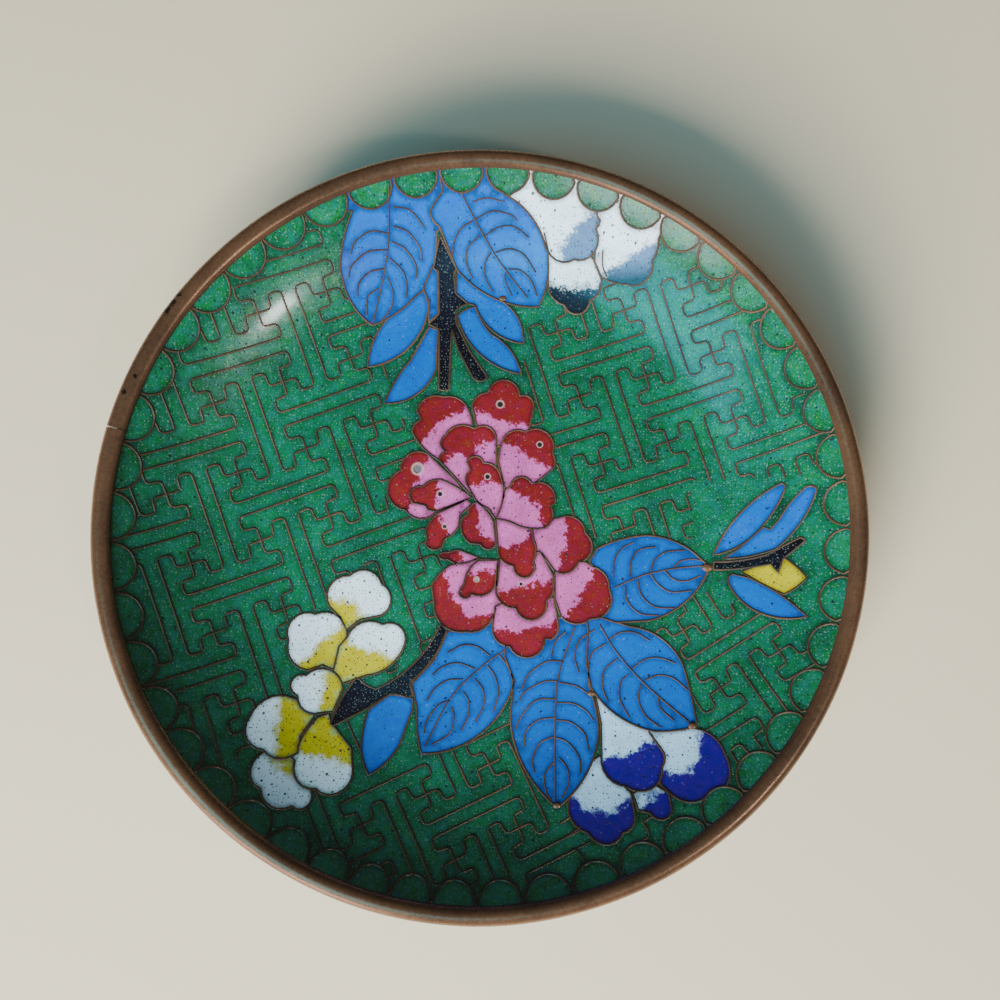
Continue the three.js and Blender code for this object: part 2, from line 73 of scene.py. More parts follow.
# Enamel fields of the picture, foremost first, as (name, colour, corners)
# A corner is (x, y, bow): millimetres from the middle, and the height of the arc
# to the next corner over half its chord
FIELDS = [
    ("top_stem", "black", [
        (-5.9, 19.4, 0.2), (-4.5, 19.4, 0), (-4.15, 28.1, 0), (-3.3, 25.2, 0), (-1.1, 21, 0.5),
        (0.9, 21.2, 0), (-1.6, 24.9, 0), (-3.5, 28.8, 0), (-3.6, 30.6, -0.15), (-1.8, 31.6, -0.15),
        (-3.6, 33, 0), (-3.85, 35.6, 0), (-3.45, 36.1, 0), (-5.7, 40.3, 0), (-6.7, 36.2, 0),
        (-5.95, 35.8, 0), (-5.95, 30.2, 0), (-7.4, 28.7, 0), (-5.95, 28, 0)]),
    ("lower_left_stem", "black", [
        (-5.5, -13.1, -0.2), (-14.2, -21.9, -0.15), (-16.5, -20.5, 0), (-17, -20.5, 0.1), (-20.1, -26.4, 0),
        (-19.8, -26.7, 0), (-15.2, -24.4, 0), (-12.2, -22.5, -0.1), (-10, -23, 0), (-9.2, -22.7, 0),
        (-9.5, -20.9, 0.15), (-4.6, -14, 0)]),
    ("right_stem", "black", [
        (31.8, -5.8, 0.05), (38.9, -5.1, 0), (39.75, -6.3, 0), (40.3, -4.5, 0), (42.9, -2.2, 0.5),
        (42.3, -1.7, 0), (38.4, -3.9, -0.08), (31.8, -4.7, 0)]),
    ("peony_petal_centre_upper", "red", [
        (2, 1.2, 0.1), (3.1, 4.5, 0.12), (2.6, 7.6, 0.35), (0.35, 9.05, 0.75), (-1.95, 9.2, 0),
        (-1.5, 8, 0.35), (-2.05, 6.2, 0), (-0.7, 3.75, 0.1), (1, 2.6, 0)]),
    ("peony_petal_centre_lower", "red", [
        (2.05, -1.9, 0), (1.7, 0.9, 0.12), (-0.6, 3.6, 0.35), (-1.8, 1.9, 0.35), (-2.75, 0.2, 0.25),
        (-1.5, -2.15, 0), (-0.1, -2.25, 0.55), (1.9, -2.6, 0)]),
    ("peony_petal_left_middle", "red", [
        (-3.1, 0.2, 0), (-2.9, 1.7, 0), (-1.3, 3.3, 0), (-2, 3.9, 0), (-6, 2, 0.15), (-7.6, -0.3, 0.15),
        (-7.35, -1.4, 0.3), (-7.5, -2.5, 0.4), (-5.4, -2.7, 0), (-5, -1.55, 0.2)]),
    ("peony_petal_left_small", "red", [
        (-0.3, -4.1, 0), (-2.3, -3.35, 0.3), (-4.2, -3.3, 0), (-4.6, -3.4, 0.45), (-5.8, -3.9, 0.4),
        (-4.6, -4.3, 0), (-3.4, -5, 0.15)]),
    ("peony_petal_bottom_small", "red", [
        (-0.3, -4.5, 0.15), (-2, -6.4, 0), (-2.3, -7.7, 0.15), (-3, -9, 0.8), (-1.3, -9.05, 0.62),
        (2.1, -6.8, 0), (2.3, -4.5, 0)]),
    ("peony_petal_right_lower", "red", [
        (2, 1.2, 0), (2.4, -3.7, 0.3), (4.45, -5.25, 0), (4.6, -5.95, 1.1), (7.2, -4.65, 0.25),
        (7.4, -2, 0.25)]),
    ("peony_petal_upper_front", "red", [
        (-1.5, 4.6, 0), (1, 7, 0), (2.15, 9, 0), (2.1, 12.2, 0.67), (-0.95, 13.85, 0.46), (-5, 12.9, 0.56),
        (-5, 10.6, 0.3), (-5.9, 9.5, 0)]),
    ("peony_petal_left_front", "red", [
        (-1.3, 4.2, 0.08), (-5.6, 6.7, 0.25), (-8.1, 5.75, 0.8), (-9.4, 3.45, 0), (-7.7, 3.1, 0),
        (-7.3, 2.45, 0), (-6.2, 2.25, 0), (-1.8, 3.95, 0)]),
    ("peony_petal_right_middle", "red", [
        (2.05, 1.25, 0), (5.8, 0.05, 0.12), (8.9, 0, 0.42), (9.65, 3, 0), (10.25, 3.5, 0.62),
        (7.05, 6.15, 0.75), (4, 5.7, 0), (3.3, 5.3, 0), (2.7, 2.6, 0)]),
    ("peony_petal_right_upper", "red", [
        (3.3, 5.4, 0), (6.5, 5.5, 0), (8.6, 7.1, 0), (9.7, 8, 0.42), (9.95, 10.35, 0.74),
        (6.15, 13.4, 0.48), (2.9, 12, 0.05), (2.35, 9.2, 0)]),
    ("peony_petal_top_left", "red", [
        (-1.2, 14.5, 0.12), (-2.2, 17.3, 0.3), (-5.3, 18.35, 0.28), (-8.2, 17.8, 0.2), (-8.95, 16.3, 0),
        (-8.35, 15.1, 0.35), (-9.6, 13.4, 0.15), (-6, 9.5, 0), (-3.5, 11, 0)]),
    ("peony_petal_top_right", "red", [
        (2.3, 11.3, 0), (4, 12, 0), (6.5, 13, 0), (7.35, 16.8, 0.6), (5.4, 18.5, 0.93), (0.95, 18.95, 0.4),
        (-1.25, 17, 0), (-0.7, 14.5, 0), (0.5, 12.5, 0)]),
    ("peony_petal_left_back", "red", [
        (-3.2, 6.2, 0), (-7.4, 10.3, 0.6), (-11.2, 8, 0.76), (-10.4, 2.45, 0.5), (-6.4, 2, 0),
        (-1.8, 3.95, 0)]),
    ("peony_petal_right_back", "red", [
        (9.9, 1.2, 0), (7, 0, 0), (7.3, -2, 0), (8.3, -3.5, 0), (10.1, -5.95, 0.5), (13.4, -4.75, 0.68),
        (14.4, -0.75, 0.53), (11, 1.45, 0)]),
    ("peony_petal_bottom_front", "red", [
        (2.6, -4.2, 0), (2.25, -7.6, 0.58), (4.75, -11, 1), (9, -9.95, 0.25), (10, -8.6, 0), (9.9, -6.6, 0),
        (8.3, -3.5, 0), (6.5, -3, 0)]),
    ("peony_petal_bottom_left", "red", [
        (-0.3, -4.3, 0), (-4.2, -5.15, 0.15), (-6.75, -7.9, 0), (-6.4, -10.2, 0.5), (-2.05, -14.2, 0.5),
        (1.95, -10.7, 0), (2.2, -7, 0), (2.4, -4.4, 0)]),
    ("peony_petal_bottom_right", "red", [
        (10.1, -6, 0), (10.1, -9.8, 0), (10.9, -12.1, 0.42), (15, -12.45, 0.6), (17.6, -8.5, 0.4),
        (15.2, -5.3, 0.2), (13.6, -4.6, 0), (12, -5, 0)]),
    ("peony_petal_bottom_back", "red", [
        (1.95, -10.8, 0), (1.6, -13.5, 0.46), (3.95, -16.2, 0.82), (8.75, -15.15, 0), (9.6, -15.25, 0.3),
        (10.6, -13.6, 0), (10.4, -12, 0), (9.9, -9.6, 0), (6, -9, 0)]),
    ("top_right_big_leaf", "blue", [
        (8, 31.05, 0.15), (9.35, 36.4, 0.3), (3.3, 44.7, 0), (2, 46, 0), (-3.6, 46.2, 0.1),
        (-6.95, 42.8, 0.25), (-5.7, 41.2, 0), (-3.4, 36.1, 0.22)]),
    ("top_left_big_leaf", "blue", [
        (-15.3, 28.4, 0.24), (-6.3, 37.8, 0), (-6.1, 40.5, 0), (-4.5, 42, 0), (-3.6, 46.2, 0),
        (-12.2, 45.8, 0), (-16.9, 43.9, 0), (-17.2, 42.2, 0.1), (-19.35, 36, 0.25)]),
    ("top_leaf_sliver", "blue", [
        (-7.35, 29, 0), (-6.1, 30.1, 0), (-6.1, 35.6, 0), (-6.7, 36.6, 0), (-8.1, 33.6, 0.1),
        (-7.3, 31.8, 0)]),
    ("top_right_leaf_upper", "blue", [
        (-3.6, 33, 0), (-1.9, 31.6, 0), (-0.9, 31.4, 0.3), (5.9, 26, 0.28), (3.2, 31.7, 0), (-3.4, 36, 0)]),
    ("top_right_leaf_lower", "blue", [
        (-3.4, 29.9, 0.3), (5.6, 21.6, 0.23), (1.4, 27.3, -0.1), (-0.9, 31.2, 0.15)]),
    ("top_left_leaf_upper", "blue", [
        (-15.9, 22.6, 0.34), (-7.4, 31, 0), (-7.9, 33.5, 0), (-13.4, 29.1, 0.17)]),
    ("top_left_leaf_lower", "blue", [
        (-13.5, 17.4, 0.34), (-6.3, 22.4, 0), (-6.1, 27.9, 0), (-7.4, 28.3, 0), (-9.9, 23.6, 0.1)]),
    ("black_petal_left", "ink", [
        (3.2, 44.2, 0), (8.6, 39, 0), (9.2, 38.3, 0.42), (12.95, 37, 0.74), (15.7, 40.4, 0.3),
        (16.2, 41.3, 0.15), (13.2, 43.5, 0), (12.4, 44.9, 0), (6.5, 46, 0)]),
    ("black_petal_bottom", "ink", [
        (9.3, 38, 0), (9.35, 33.4, 0.25), (11.7, 31.2, 0.88), (15.15, 31.75, 0.5), (16.4, 35, 0),
        (15.5, 36.9, 0), (13.5, 38.5, 0)]),
    ("black_petal_right", "ink", [
        (15.8, 42.3, 0), (15.7, 36.6, 0), (16.7, 34.6, 0.12), (20.2, 33.5, 0.68), (23.35, 36.05, 0.35),
        (23.6, 39, 0), (18.6, 43, 0)]),
    ("right_big_leaf", "blue", [
        (31.3, -5.4, 0), (29.4, -3.6, 0.18), (22.6, -1.05, 0.1), (15.9, -2.9, 0), (14.9, -4.7, 0),
        (17, -7, 0), (17.2, -9, 0), (16.2, -12.2, 0), (18.4, -12.95, 0), (23, -12.7, 0.2),
        (30.4, -7.2, 0)]),
    ("lower_right_big_leaf", "blue", [
        (28.6, -26.5, 0.05), (27.3, -18.6, 0.28), (20.3, -13.5, 0), (18.2, -12.8, 0), (15.8, -12, 0),
        (14.6, -14.5, 0), (14.4, -18.6, 0), (14.9, -21.6, 0.22), (23.2, -27.35, 0.08)]),
    ("lower_big_leaf", "blue", [
        (10.1, -37, 0.22), (15.9, -27.5, 0.08), (14.7, -21.5, 0), (14.5, -18.5, 0), (14.7, -14.5, 0),
        (14.4, -12.2, 0), (11, -12, 0), (8.3, -14.6, 0), (3.4, -16, 0), (3.3, -17.6, 0), (4.5, -20.8, 0),
        (4, -25.5, 0.23)]),
    ("lower_left_big_leaf", "blue", [
        (-7.9, -30.4, 0.34), (4.4, -21.4, 0.15), (2.9, -17.3, 0), (3.3, -15.5, 0), (2.2, -11.8, 0),
        (-2, -13.5, 0), (-4.5, -14.2, 0), (-6.3, -18, 0), (-9.3, -21.2, 0), (-8.55, -24.8, 0.1)]),
    ("lower_left_small_leaf", "blue", [
        (-12.3, -22.6, 0), (-15.1, -24.6, 0.1), (-15.9, -30, 0.1), (-14.8, -33, 0.15), (-10.9, -29.3, 0),
        (-9.2, -24.6, 0), (-9.1, -23.2, 0), (-10, -22.9, 0)]),
    ("right_leaf_upper", "blue", [
        (31.8, -3.8, 0.2), (38.2, 0.2, 0.1), (40.9, 5.2, 0.3), (40.4, 5.7, 0.18)]),
    ("right_leaf_middle", "blue", [
        (33, -4.3, 0.1), (39.6, -3.1, 0.16), (44.3, 4.6, 0.4), (43.2, 5, 0.1), (40.2, 1, 0), (39, -0.5, 0),
        (38.2, -0.1, 0), (35, -3, 0)]),
    ("right_leaf_lower", "blue", [
        (42.5, -12.1, 0.13), (36, -6.9, 0), (34.2, -6.4, 0.3), (33.5, -7.3, 0.4)]),
    ("yellow_bud", "yellow", [
        (35.3, -6.1, 0.05), (40.2, -9.2, 0.15), (42.85, -7, 0.1), (40.6, -4.4, 0), (38, -5, 0)]),
    ("cobalt_petal_upper", "cobalt", [
        (15.6, -23.1, 0), (16.2, -26.5, 0), (16.15, -30.5, 0.48), (19.2, -34.25, 0.6), (23.85, -31.7, 0.25),
        (24.2, -30, 0), (22.3, -27.2, 0), (20, -24, 0)]),
    ("cobalt_petal_right", "cobalt", [
        (22.5, -27.2, 0), (22.6, -31, 0), (23.6, -33.9, 0), (24.3, -34.5, 0.42), (28.9, -34.7, 0.5),
        (31.65, -29.75, 0.35), (28.4, -26.8, 0), (25.5, -25.5, 0)]),
    ("cobalt_petal_left", "cobalt", [
        (15.9, -30.6, 0), (13.5, -32, 0), (12.1, -35.2, 0.58), (13.95, -39.75, 0.6), (18.3, -39.5, 0.45),
        (19.95, -37, 0), (19.7, -35, 0), (18.2, -33.5, 0)]),
    ("cobalt_petal_small", "cobalt", [
        (19.9, -35.1, 0), (20.4, -36.9, 0), (21.8, -37.1, 0.88), (24.5, -35.8, 0), (24.4, -34.7, 0),
        (22, -33.5, 0)]),
    ("cream_petal_middle", "cream", [
        (-19.9, -24.9, 0), (-18.65, -21.9, 0.66), (-23.6, -20.05, 1.05), (-24.6, -22.75, 0.5),
        (-21.5, -25.05, 0)]),
    ("cream_petal_right", "cream", [
        (-18.8, -21.2, 0), (-15.5, -20.1, 0.3), (-10.4, -16, 0.7), (-13.4, -13.25, 0.47),
        (-18.15, -14.9, 0), (-19.3, -16.2, 0), (-20, -19.5, 0)]),
    ("cream_petal_top", "cream", [
        (-18.3, -14, 0), (-16.5, -12.6, 0), (-13.6, -12, 0.62), (-13.6, -7.7, 0.58), (-18, -6.6, 0.6),
        (-20.7, -10.8, 0), (-19.2, -12.3, 0)]),
    ("cream_petal_left_upper", "cream", [
        (-19.9, -19.4, 0), (-19.6, -17, 0), (-18.3, -15.4, 0.64), (-22.55, -11.85, 0.68),
        (-26.1, -15.4, 0.45), (-23.5, -19.4, 0), (-21.5, -18.7, 0)]),
    ("cream_petal_bottom", "cream", [
        (-20.4, -25.1, 0), (-21.8, -25.6, 0.12), (-24.05, -29, 0), (-24, -30.2, 0.6),
        (-21.35, -34.45, 0.76), (-16.9, -32, 0), (-17.2, -29.6, 0), (-20, -26.3, 0)]),
    ("cream_petal_left_lower", "cream", [
        (-22.3, -25.5, 0), (-22.5, -24, 0), (-25.2, -23, 0.46), (-30.35, -25.2, 0.54),
        (-28.3, -29.45, 0.42), (-24, -29.95, 0), (-23.9, -27.9, 0)]),
    ("cream_petal_left_bottom", "cream", [
        (-28.3, -29.7, 0.64), (-28, -33.95, 0.48), (-23.95, -36.25, 0.82), (-21.75, -35, 0),
        (-22.5, -32.5, 0), (-26, -29.5, 0)]),
]

# Lines between the two colours of a petal, with the outer colour on their left
SHADE_LINES = {
    "peony_petal_centre_upper": [(-3, 5.6), (0.4, 6.3), (3.5, 5.8)],
    "peony_petal_centre_lower": [(1.2, -1.5), (0, -1), (-0.3, 1), (-0.5, 3)],
    "peony_petal_left_middle": [(-4.4, -2.7), (-4.6, 0.2), (-6.6, 2.2)],
    "peony_petal_left_small": [(-2.8, -6), (-2.8, -3)],
    "peony_petal_bottom_small": [(3, -6), (-1, -6), (-2.4, -5)],
    "peony_petal_right_lower": [(6.8, 0.5), (6.5, -1), (6, -1.8), (4.5, -2.6), (2.4, -2.8)],
    "peony_petal_upper_front": [(-5.5, 8), (-4.6, 10), (-2.5, 10.3), (-1.2, 9), (-0.8, 11), (0.6, 12),
                                (2.2, 11.7)],
    "peony_petal_left_front": [(-6, 2), (-6, 7)],
    "peony_petal_right_middle": [(4.2, 5.2), (6, 4), (7.8, 3.5), (8, 2), (8.5, 0.5)],
    "peony_petal_right_upper": [(3.3, 12), (6, 10.3), (9, 8.5)],
    "peony_petal_top_left": [(-7.5, 12.5), (-6, 14.5), (-2, 17)],
    "peony_petal_top_right": [(-1, 16.3), (2, 15.2), (6, 14.2)],
    "peony_petal_left_back": [(-10, 2), (-9.3, 6), (-7.5, 9.5)],
    "peony_petal_right_back": [(12, 1.5), (11.8, -2), (10.7, -5.5)],
    "peony_petal_bottom_front": [(10, -7.6), (7.5, -7.6), (6, -8.2), (2.8, -8.6)],
    "peony_petal_bottom_left": [(2, -12.2), (1, -12.2), (-2, -12), (-3.5, -10), (-4.5, -8), (-5, -6)],
    "peony_petal_bottom_right": [(15.5, -6), (14, -9), (12, -11.5)],
    "peony_petal_bottom_back": [(11, -12.5), (8, -13.8), (4, -14.2), (1, -14)],
    "cream_petal_top": [(-21, -9.6), (-18, -10), (-15.6, -12.4)],
    "cream_petal_left_upper": [(-24.5, -18.5), (-22.5, -16.5), (-19.5, -13.5)],
    "cream_petal_right": [(-18.5, -14.5), (-16.5, -16.5), (-12, -17.5)],
    "cream_petal_middle": [(-21.5, -26), (-21.5, -19)],
    "cream_petal_left_lower": [(-27, -31), (-27, -22)],
    "cream_petal_left_bottom": [(-22, -32.5), (-24, -32.8), (-26.5, -31.5), (-27.5, -30)],
    "cream_petal_bottom": [(-16.5, -32), (-20, -31), (-23.5, -30)],
    "cobalt_petal_upper": [(23.8, -28), (22, -29), (19, -30.5), (16, -31)],
    "cobalt_petal_right": [(28.8, -26.5), (28.5, -30), (27, -32), (23, -32.5)],
    "cobalt_petal_left": [(20, -35.5), (17, -37.3), (14, -37), (12, -35.5)],
    "cobalt_petal_small": [(24, -34), (22, -35.2), (20.5, -37)],
    "black_petal_bottom": [(17, 33.8), (13, 33.4), (9, 33.9)],
    "black_petal_left": [(17, 42.8), (13.6, 41.6), (11.3, 39), (10.8, 35)],
    "black_petal_right": [(23.5, 38.3), (20.5, 37), (17.5, 35.5), (16, 34)],
}

# Wires inside the leaves and petals
VEINS = [
    [(-12.2, 45.2), (-12.9, 38), (-15.2, 28.6)],
    [(-12.6, 40.1), (-15, 40.2), (-17.2, 38.8), (-17.9, 37.3)],
    [(-12.9, 38.2), (-15.5, 37.8), (-17.8, 36), (-18.3, 34.5)],
    [(-13.3, 35.9), (-15.5, 35.3), (-17, 33.8), (-17.2, 32.2)],
    [(-14.4, 33.3), (-15.8, 32.2), (-16, 29.7)],
    [(-11.8, 43.1), (-9.5, 42.8), (-7.8, 41)],
    [(-12, 41), (-10, 40.4), (-8.4, 38.5), (-8.3, 37)],
    [(-12.3, 39.2), (-10.5, 38.4), (-9.1, 36.5), (-9.1, 34.8)],
    [(-12.7, 37.2), (-11, 35.8), (-10.4, 34), (-10.5, 32.3)],
    [(-13, 34.8), (-12.3, 32.8), (-12.6, 31), (-14, 29)],
    [(-2.6, 44.9), (0.5, 40), (3, 36.5), (6.5, 32.3)],
    [(-1.2, 44), (0.8, 44.4), (3.2, 44)],
    [(-0.8, 42.1), (1.5, 43), (4, 42.6), (5, 41.9)],
    [(0.5, 40.2), (2.5, 41.2), (4.6, 41.2), (6.6, 39.9)],
    [(2, 38.2), (4, 38.6), (6, 37.8), (7.6, 35.6)],
    [(3.8, 36.1), (5.5, 35.9), (7, 34.5), (7.8, 32.5)],
    [(-1, 42), (-2.8, 41), (-3.8, 39.2), (-3.9, 37.6)],
    [(-0.2, 40.2), (-1.8, 38.8), (-2, 36.8), (-1.2, 34.9)],
    [(1.4, 38.2), (0.6, 37), (0.6, 35), (1.6, 33.2)],
    [(3.4, 35.7), (3.4, 34.5), (4.3, 32.6)],
    [(12.8, -13.6), (10.6, -20), (10.1, -25), (9.9, -36.8)],
    [(11.2, -18.2), (9, -18.2), (6.6, -19.8), (5.5, -21.9)],
    [(10.4, -20.8), (8.5, -20.9), (6, -22.2), (5.2, -23.5)],
    [(10.2, -23.2), (7.5, -23.4), (5.5, -25.5), (4.8, -27.2)],
    [(10, -25.7), (7.8, -26), (6.1, -27.5), (5.9, -29.5)],
    [(9.8, -28.2), (8, -29), (7, -31), (7.2, -32.8)],
    [(9.7, -31.5), (8.6, -33), (8.7, -35), (9.4, -36.2)],
    [(10.6, -21), (13, -21.5), (14.8, -22.7)],
    [(10.3, -23.7), (12.5, -23.8), (14.3, -24.8), (15.2, -26)],
    [(10.2, -26), (12.2, -26.3), (14, -27.8), (14.5, -29.8)],
    [(10, -28.3), (11.7, -28.9), (13.2, -30.8), (13.3, -32.8)],
    [(10.5, -30.9), (11.5, -32), (11.8, -33.8), (10.8, -35.8)],
    [(9.6, -17.5), (10.2, -15.5), (11.5, -14.3)],
    [(3.3, -16.6), (0, -19), (-4, -23), (-7.5, -29.5)],
    [(1.2, -17.4), (-0.5, -16.2), (-2.5, -16), (-4.5, -17)],
    [(-0.8, -19.2), (-3, -18.4), (-5, -18.8), (-6.6, -20)],
    [(-2.5, -20.6), (-4.5, -20.7), (-6.2, -21.8), (-7.3, -23.5)],
    [(-4.2, -23.4), (-5.7, -24), (-7.2, -26), (-7.6, -27.8)],
    [(2.5, -17.3), (3.8, -19), (4.4, -20.5)],
    [(0.9, -18.7), (2, -20.3), (2.4, -22.5), (1.7, -25)],
    [(-0.8, -20.5), (0.3, -22), (0.4, -24), (-0.7, -26.3)],
    [(-2.4, -22.2), (-1.6, -23.5), (-1.7, -25.5), (-2.6, -27.4)],
    [(-3.9, -24.3), (-3.6, -25.8), (-4.2, -27.8), (-6.5, -29.2)],
    [(16.2, -13.2), (18.5, -17), (22.5, -21.5), (28, -26.3)],
    [(17.6, -15.2), (19, -14.3), (21, -14.3), (23, -15.4)],
    [(20.6, -19.1), (22.3, -17.9), (24.3, -17.7), (26.3, -18.4)],
    [(22.2, -20.7), (24, -20), (26, -20.4), (27.8, -21.9)],
    [(15.5, -13.9), (13.5, -15.3), (12.8, -17.5), (13.3, -19.7)],
    [(17, -15.8), (15.2, -17), (14.6, -19), (14.9, -21.3)],
    [(18.6, -17.8), (16.8, -19.3), (16.5, -21.5), (17.2, -23.5)],
    [(20, -19.9), (19, -21), (18.8, -23.2), (20, -25.6)],
    [(21.6, -21.3), (21.3, -23.3), (22.2, -25.4), (24, -26.8)],
    [(23.9, -23), (24.2, -24.4), (25.8, -25.9)],
    [(18.3, -8.2), (22, -6.6), (26.5, -5.6), (30.8, -5.2)],
    [(18.2, -6.8), (18.3, -4.6), (19.3, -2.9), (21, -2)],
    [(20.4, -6.7), (20.7, -4.4), (21.8, -3), (24, -2.6)],
    [(23.3, -6), (23.8, -4.5), (25.5, -3.3), (28, -3.1)],
    [(26.5, -5.4), (27.3, -4.6), (29, -4.3), (30.4, -4.6)],
    [(19.8, -8), (20, -10), (21.7, -11.7), (24.3, -12)],
    [(21.5, -7.2), (22, -9.3), (23.8, -10.8), (26.5, -11)],
    [(23.3, -6.4), (24.3, -7.8), (26, -8.8), (28.8, -8.6)],
    [(25.3, -6), (26.5, -7.1), (28.2, -7.3), (30, -6.6)],
    [(16.75, 37.9), (16.8, 36), (17.4, 34.7)],
    [(8.7, 40.4), (9.3, 38.3)],
]

# Junctions where a lump of solder shows bright, as (x, y, radius)
SOLDER = [(31, -5.5, 0.7), (3, 32.3, 0.5), (28.1, -26.5, 0.6), (15, -22.5, 0.5), (10.1, -36.8, 0.5)]

# Dark stains on the rim, as (turn in degrees, distance from the middle, radius)
RIM_STAINS = [(143, 49.5, 0.5), (144.5, 49.4, 0.7), (146, 49.3, 0.6), (157, 48.4, 0.3), (160, 48.9, 0.3)]

# Small craters in the petals, as (x, y, radius, grey)
CRATERS = [
    (-8.8, 8.2, 0.75, 0.12), (8.15, 11.6, 0.4, 0.01), (2.65, 17.3, 0.5, 0.012), (0.9, 7.1, 0.4, 0.01),
    (-5.65, 4.7, 0.42, 0.01), (-5, 0.2, 0.35, 0.03), (-0.6, -7.1, 0.35, 0.2), (5.5, -7.7, 0.3, 0.01),
]

# Fretwork on the ground, as (x, y of one cross, turn in degrees, pitch, corners of its region)
FRET_PATCHES = [
    (32.33, 24.18, 17.4, 9.74, [(5.5, 50), (5.5, 20), (8, 0), (32, -5), (52, -6), (52, 50)]),
    (-18.39, 23.8, 20.1, 9.96, [(-52, 52), (0, 52), (-3, 20), (-6, -14), (-14, -22), (-30, -30), (-52, -40)]),
    (1.16, -31.88, 25.4, 9.3, [(-16, -22), (-6, -14), (10, -30), (14, -40), (14, -52), (-40, -52)]),
    (32.43, -21.92, 31.6, 9.22, [(30, -5), (52, -6), (52, -52), (14, -52), (10, -37), (20, -20)]),
]
# Pockets of the ground that carry no fretwork
FRET_BARE = [
    [(-13.2, 17.8), (-9, 13), (6, 14), (6, 30), (-13.2, 30)],
    [(29, 6.5), (52, 6.5), (52, -11.5), (36, -11.5), (29, -8)],
]

# Turn of the first point between two scallops, and how the others drift from even steps, in degrees
FIRST_CUSP = 81.75
CUSP_DRIFT = 4.6
DRIFT_START = -83
DRIFT_GROWTH = 47
DRIFT_END = -150
DRIFT_DECLINE = 115

# Dark and pale marks in the finishes, and a painted sheen: a grey-blue reflection painted into the black
# flower's ink
PIT_COLOUR = (0.004, 0.008, 0.014, 1)
SPECK_TINT = (0.5, 0.7, 0.62, 1)
CRATER_LIP = (0.5, 0.36, 0.34, 1)
SPOT_COLOUR = (0.012, 0.009, 0.008, 1)
STAIN_COLOUR = (0.012, 0.01, 0.01, 1)
FLOWER_FRINGE = (0.2, 0.5, 0.3, 1)
# Painted sheen: the grey-blue that the upper black petals turn to stands in for a reflection of the sky lamp
PAINTED_SHEEN_ON_INK = (0.07, 0.12, 0.24, 1)

# Soft lamps, as (name, turn round the dish and rise in degrees, distance, size, power, tint)
LAMPS = (
    ("window", 245, 31, 0.6, 0.3, 13.5, (1, 0.95, 0.88)),
    ("sky", 229, 54, 0.9, 0.56, 4.8, (0.1, 0.66, 1)),
    ("glow", 238, 12, 0.7, 0.36, 2.6, (0.95, 0.92, 1)),
    ("glint", -43, 52, 0.7, 0.06, 0.7, (1, 1, 1)),
)
ROOM_TINT = (1, 0.84, 0.72, 1)
ROOM_LIGHT = 0.11
FLOOR_COLOUR = (0.62, 0.53, 0.38, 1)
FLOOR_SIZE = 3

# Camera above the dish, leaning a little towards its top edge
CAMERA_PLACE = (0.00262, -0.01108, 0.14268)
CAMERA_LEAN = math.radians(6.2)
LENS = 36
SENSOR = 36


class DishSizes(bpy.types.PropertyGroup):
    outer_diameter: bpy.props.FloatProperty(
        name="Outer diameter", description="Across the rim wire", default=round(EXTENT.x, 3), unit="LENGTH")
    height: bpy.props.FloatProperty(
        name="Height", description="Foot to the top of the rim", default=round(EXTENT.z, 3), unit="LENGTH")
    floor_radius: bpy.props.FloatProperty(
        name="Floor radius", description="Radius of the flat floor", default=0.026, unit="LENGTH")
    rim_diameter: bpy.props.FloatProperty(
        name="Rim wire", description="Diameter of the rim wire", default=0.0026, unit="LENGTH")
    seam_width: bpy.props.FloatProperty(
        name="Seam", description="Gap between the ends of the rim wire", default=0.00016, unit="LENGTH")
    seam_angle: bpy.props.FloatProperty(
        name="Seam place", description="Turn of the seam about the middle", default=math.radians(165.4),
        subtype="ANGLE")
    foot_height: bpy.props.FloatProperty(
        name="Foot height", description="Height of the foot ring below the counter-enamel", default=0.003,
        unit="LENGTH")
    foot_wall: bpy.props.FloatProperty(
        name="Foot wall", description="Thickness of the foot ring", default=0.0012, unit="LENGTH")
    enamel: bpy.props.FloatProperty(
        name="Enamel", description="Thickness of the enamel inside", default=0.0007, unit="LENGTH")
    copper: bpy.props.FloatProperty(
        name="Copper", description="Thickness of the copper body", default=0.0009, unit="LENGTH")
    counter: bpy.props.FloatProperty(
        name="Counter-enamel", description="Thickness of the enamel outside", default=0.0006, unit="LENGTH")
    layer_gap: bpy.props.FloatProperty(
        name="Layer gap", description="Gap between fused layers", default=0.00005, unit="LENGTH")
    outline_wire: bpy.props.FloatProperty(
        name="Outline wire", description="Diameter of the wire round the fields", default=0.0004,
        unit="LENGTH")
    vein_wire: bpy.props.FloatProperty(
        name="Vein wire", description="Diameter of the wire in the leaves", default=0.00032, unit="LENGTH")
    fret_wire: bpy.props.FloatProperty(
        name="Fret wire", description="Diameter of the fretwork wire", default=0.00038, unit="LENGTH")
    scallops: bpy.props.IntProperty(
        name="Scallops", description="Number of half-round fields in the border", default=48, min=12)
    scallop_depth: bpy.props.FloatProperty(
        name="Scallop depth", description="Reach of the scallops in from the rim", default=0.0024,
        unit="LENGTH")
    fret_squeeze: bpy.props.FloatProperty(
        name="Fret squeeze", description="How much the fretwork closes up on the wall, per millimetre",
        default=0.004)


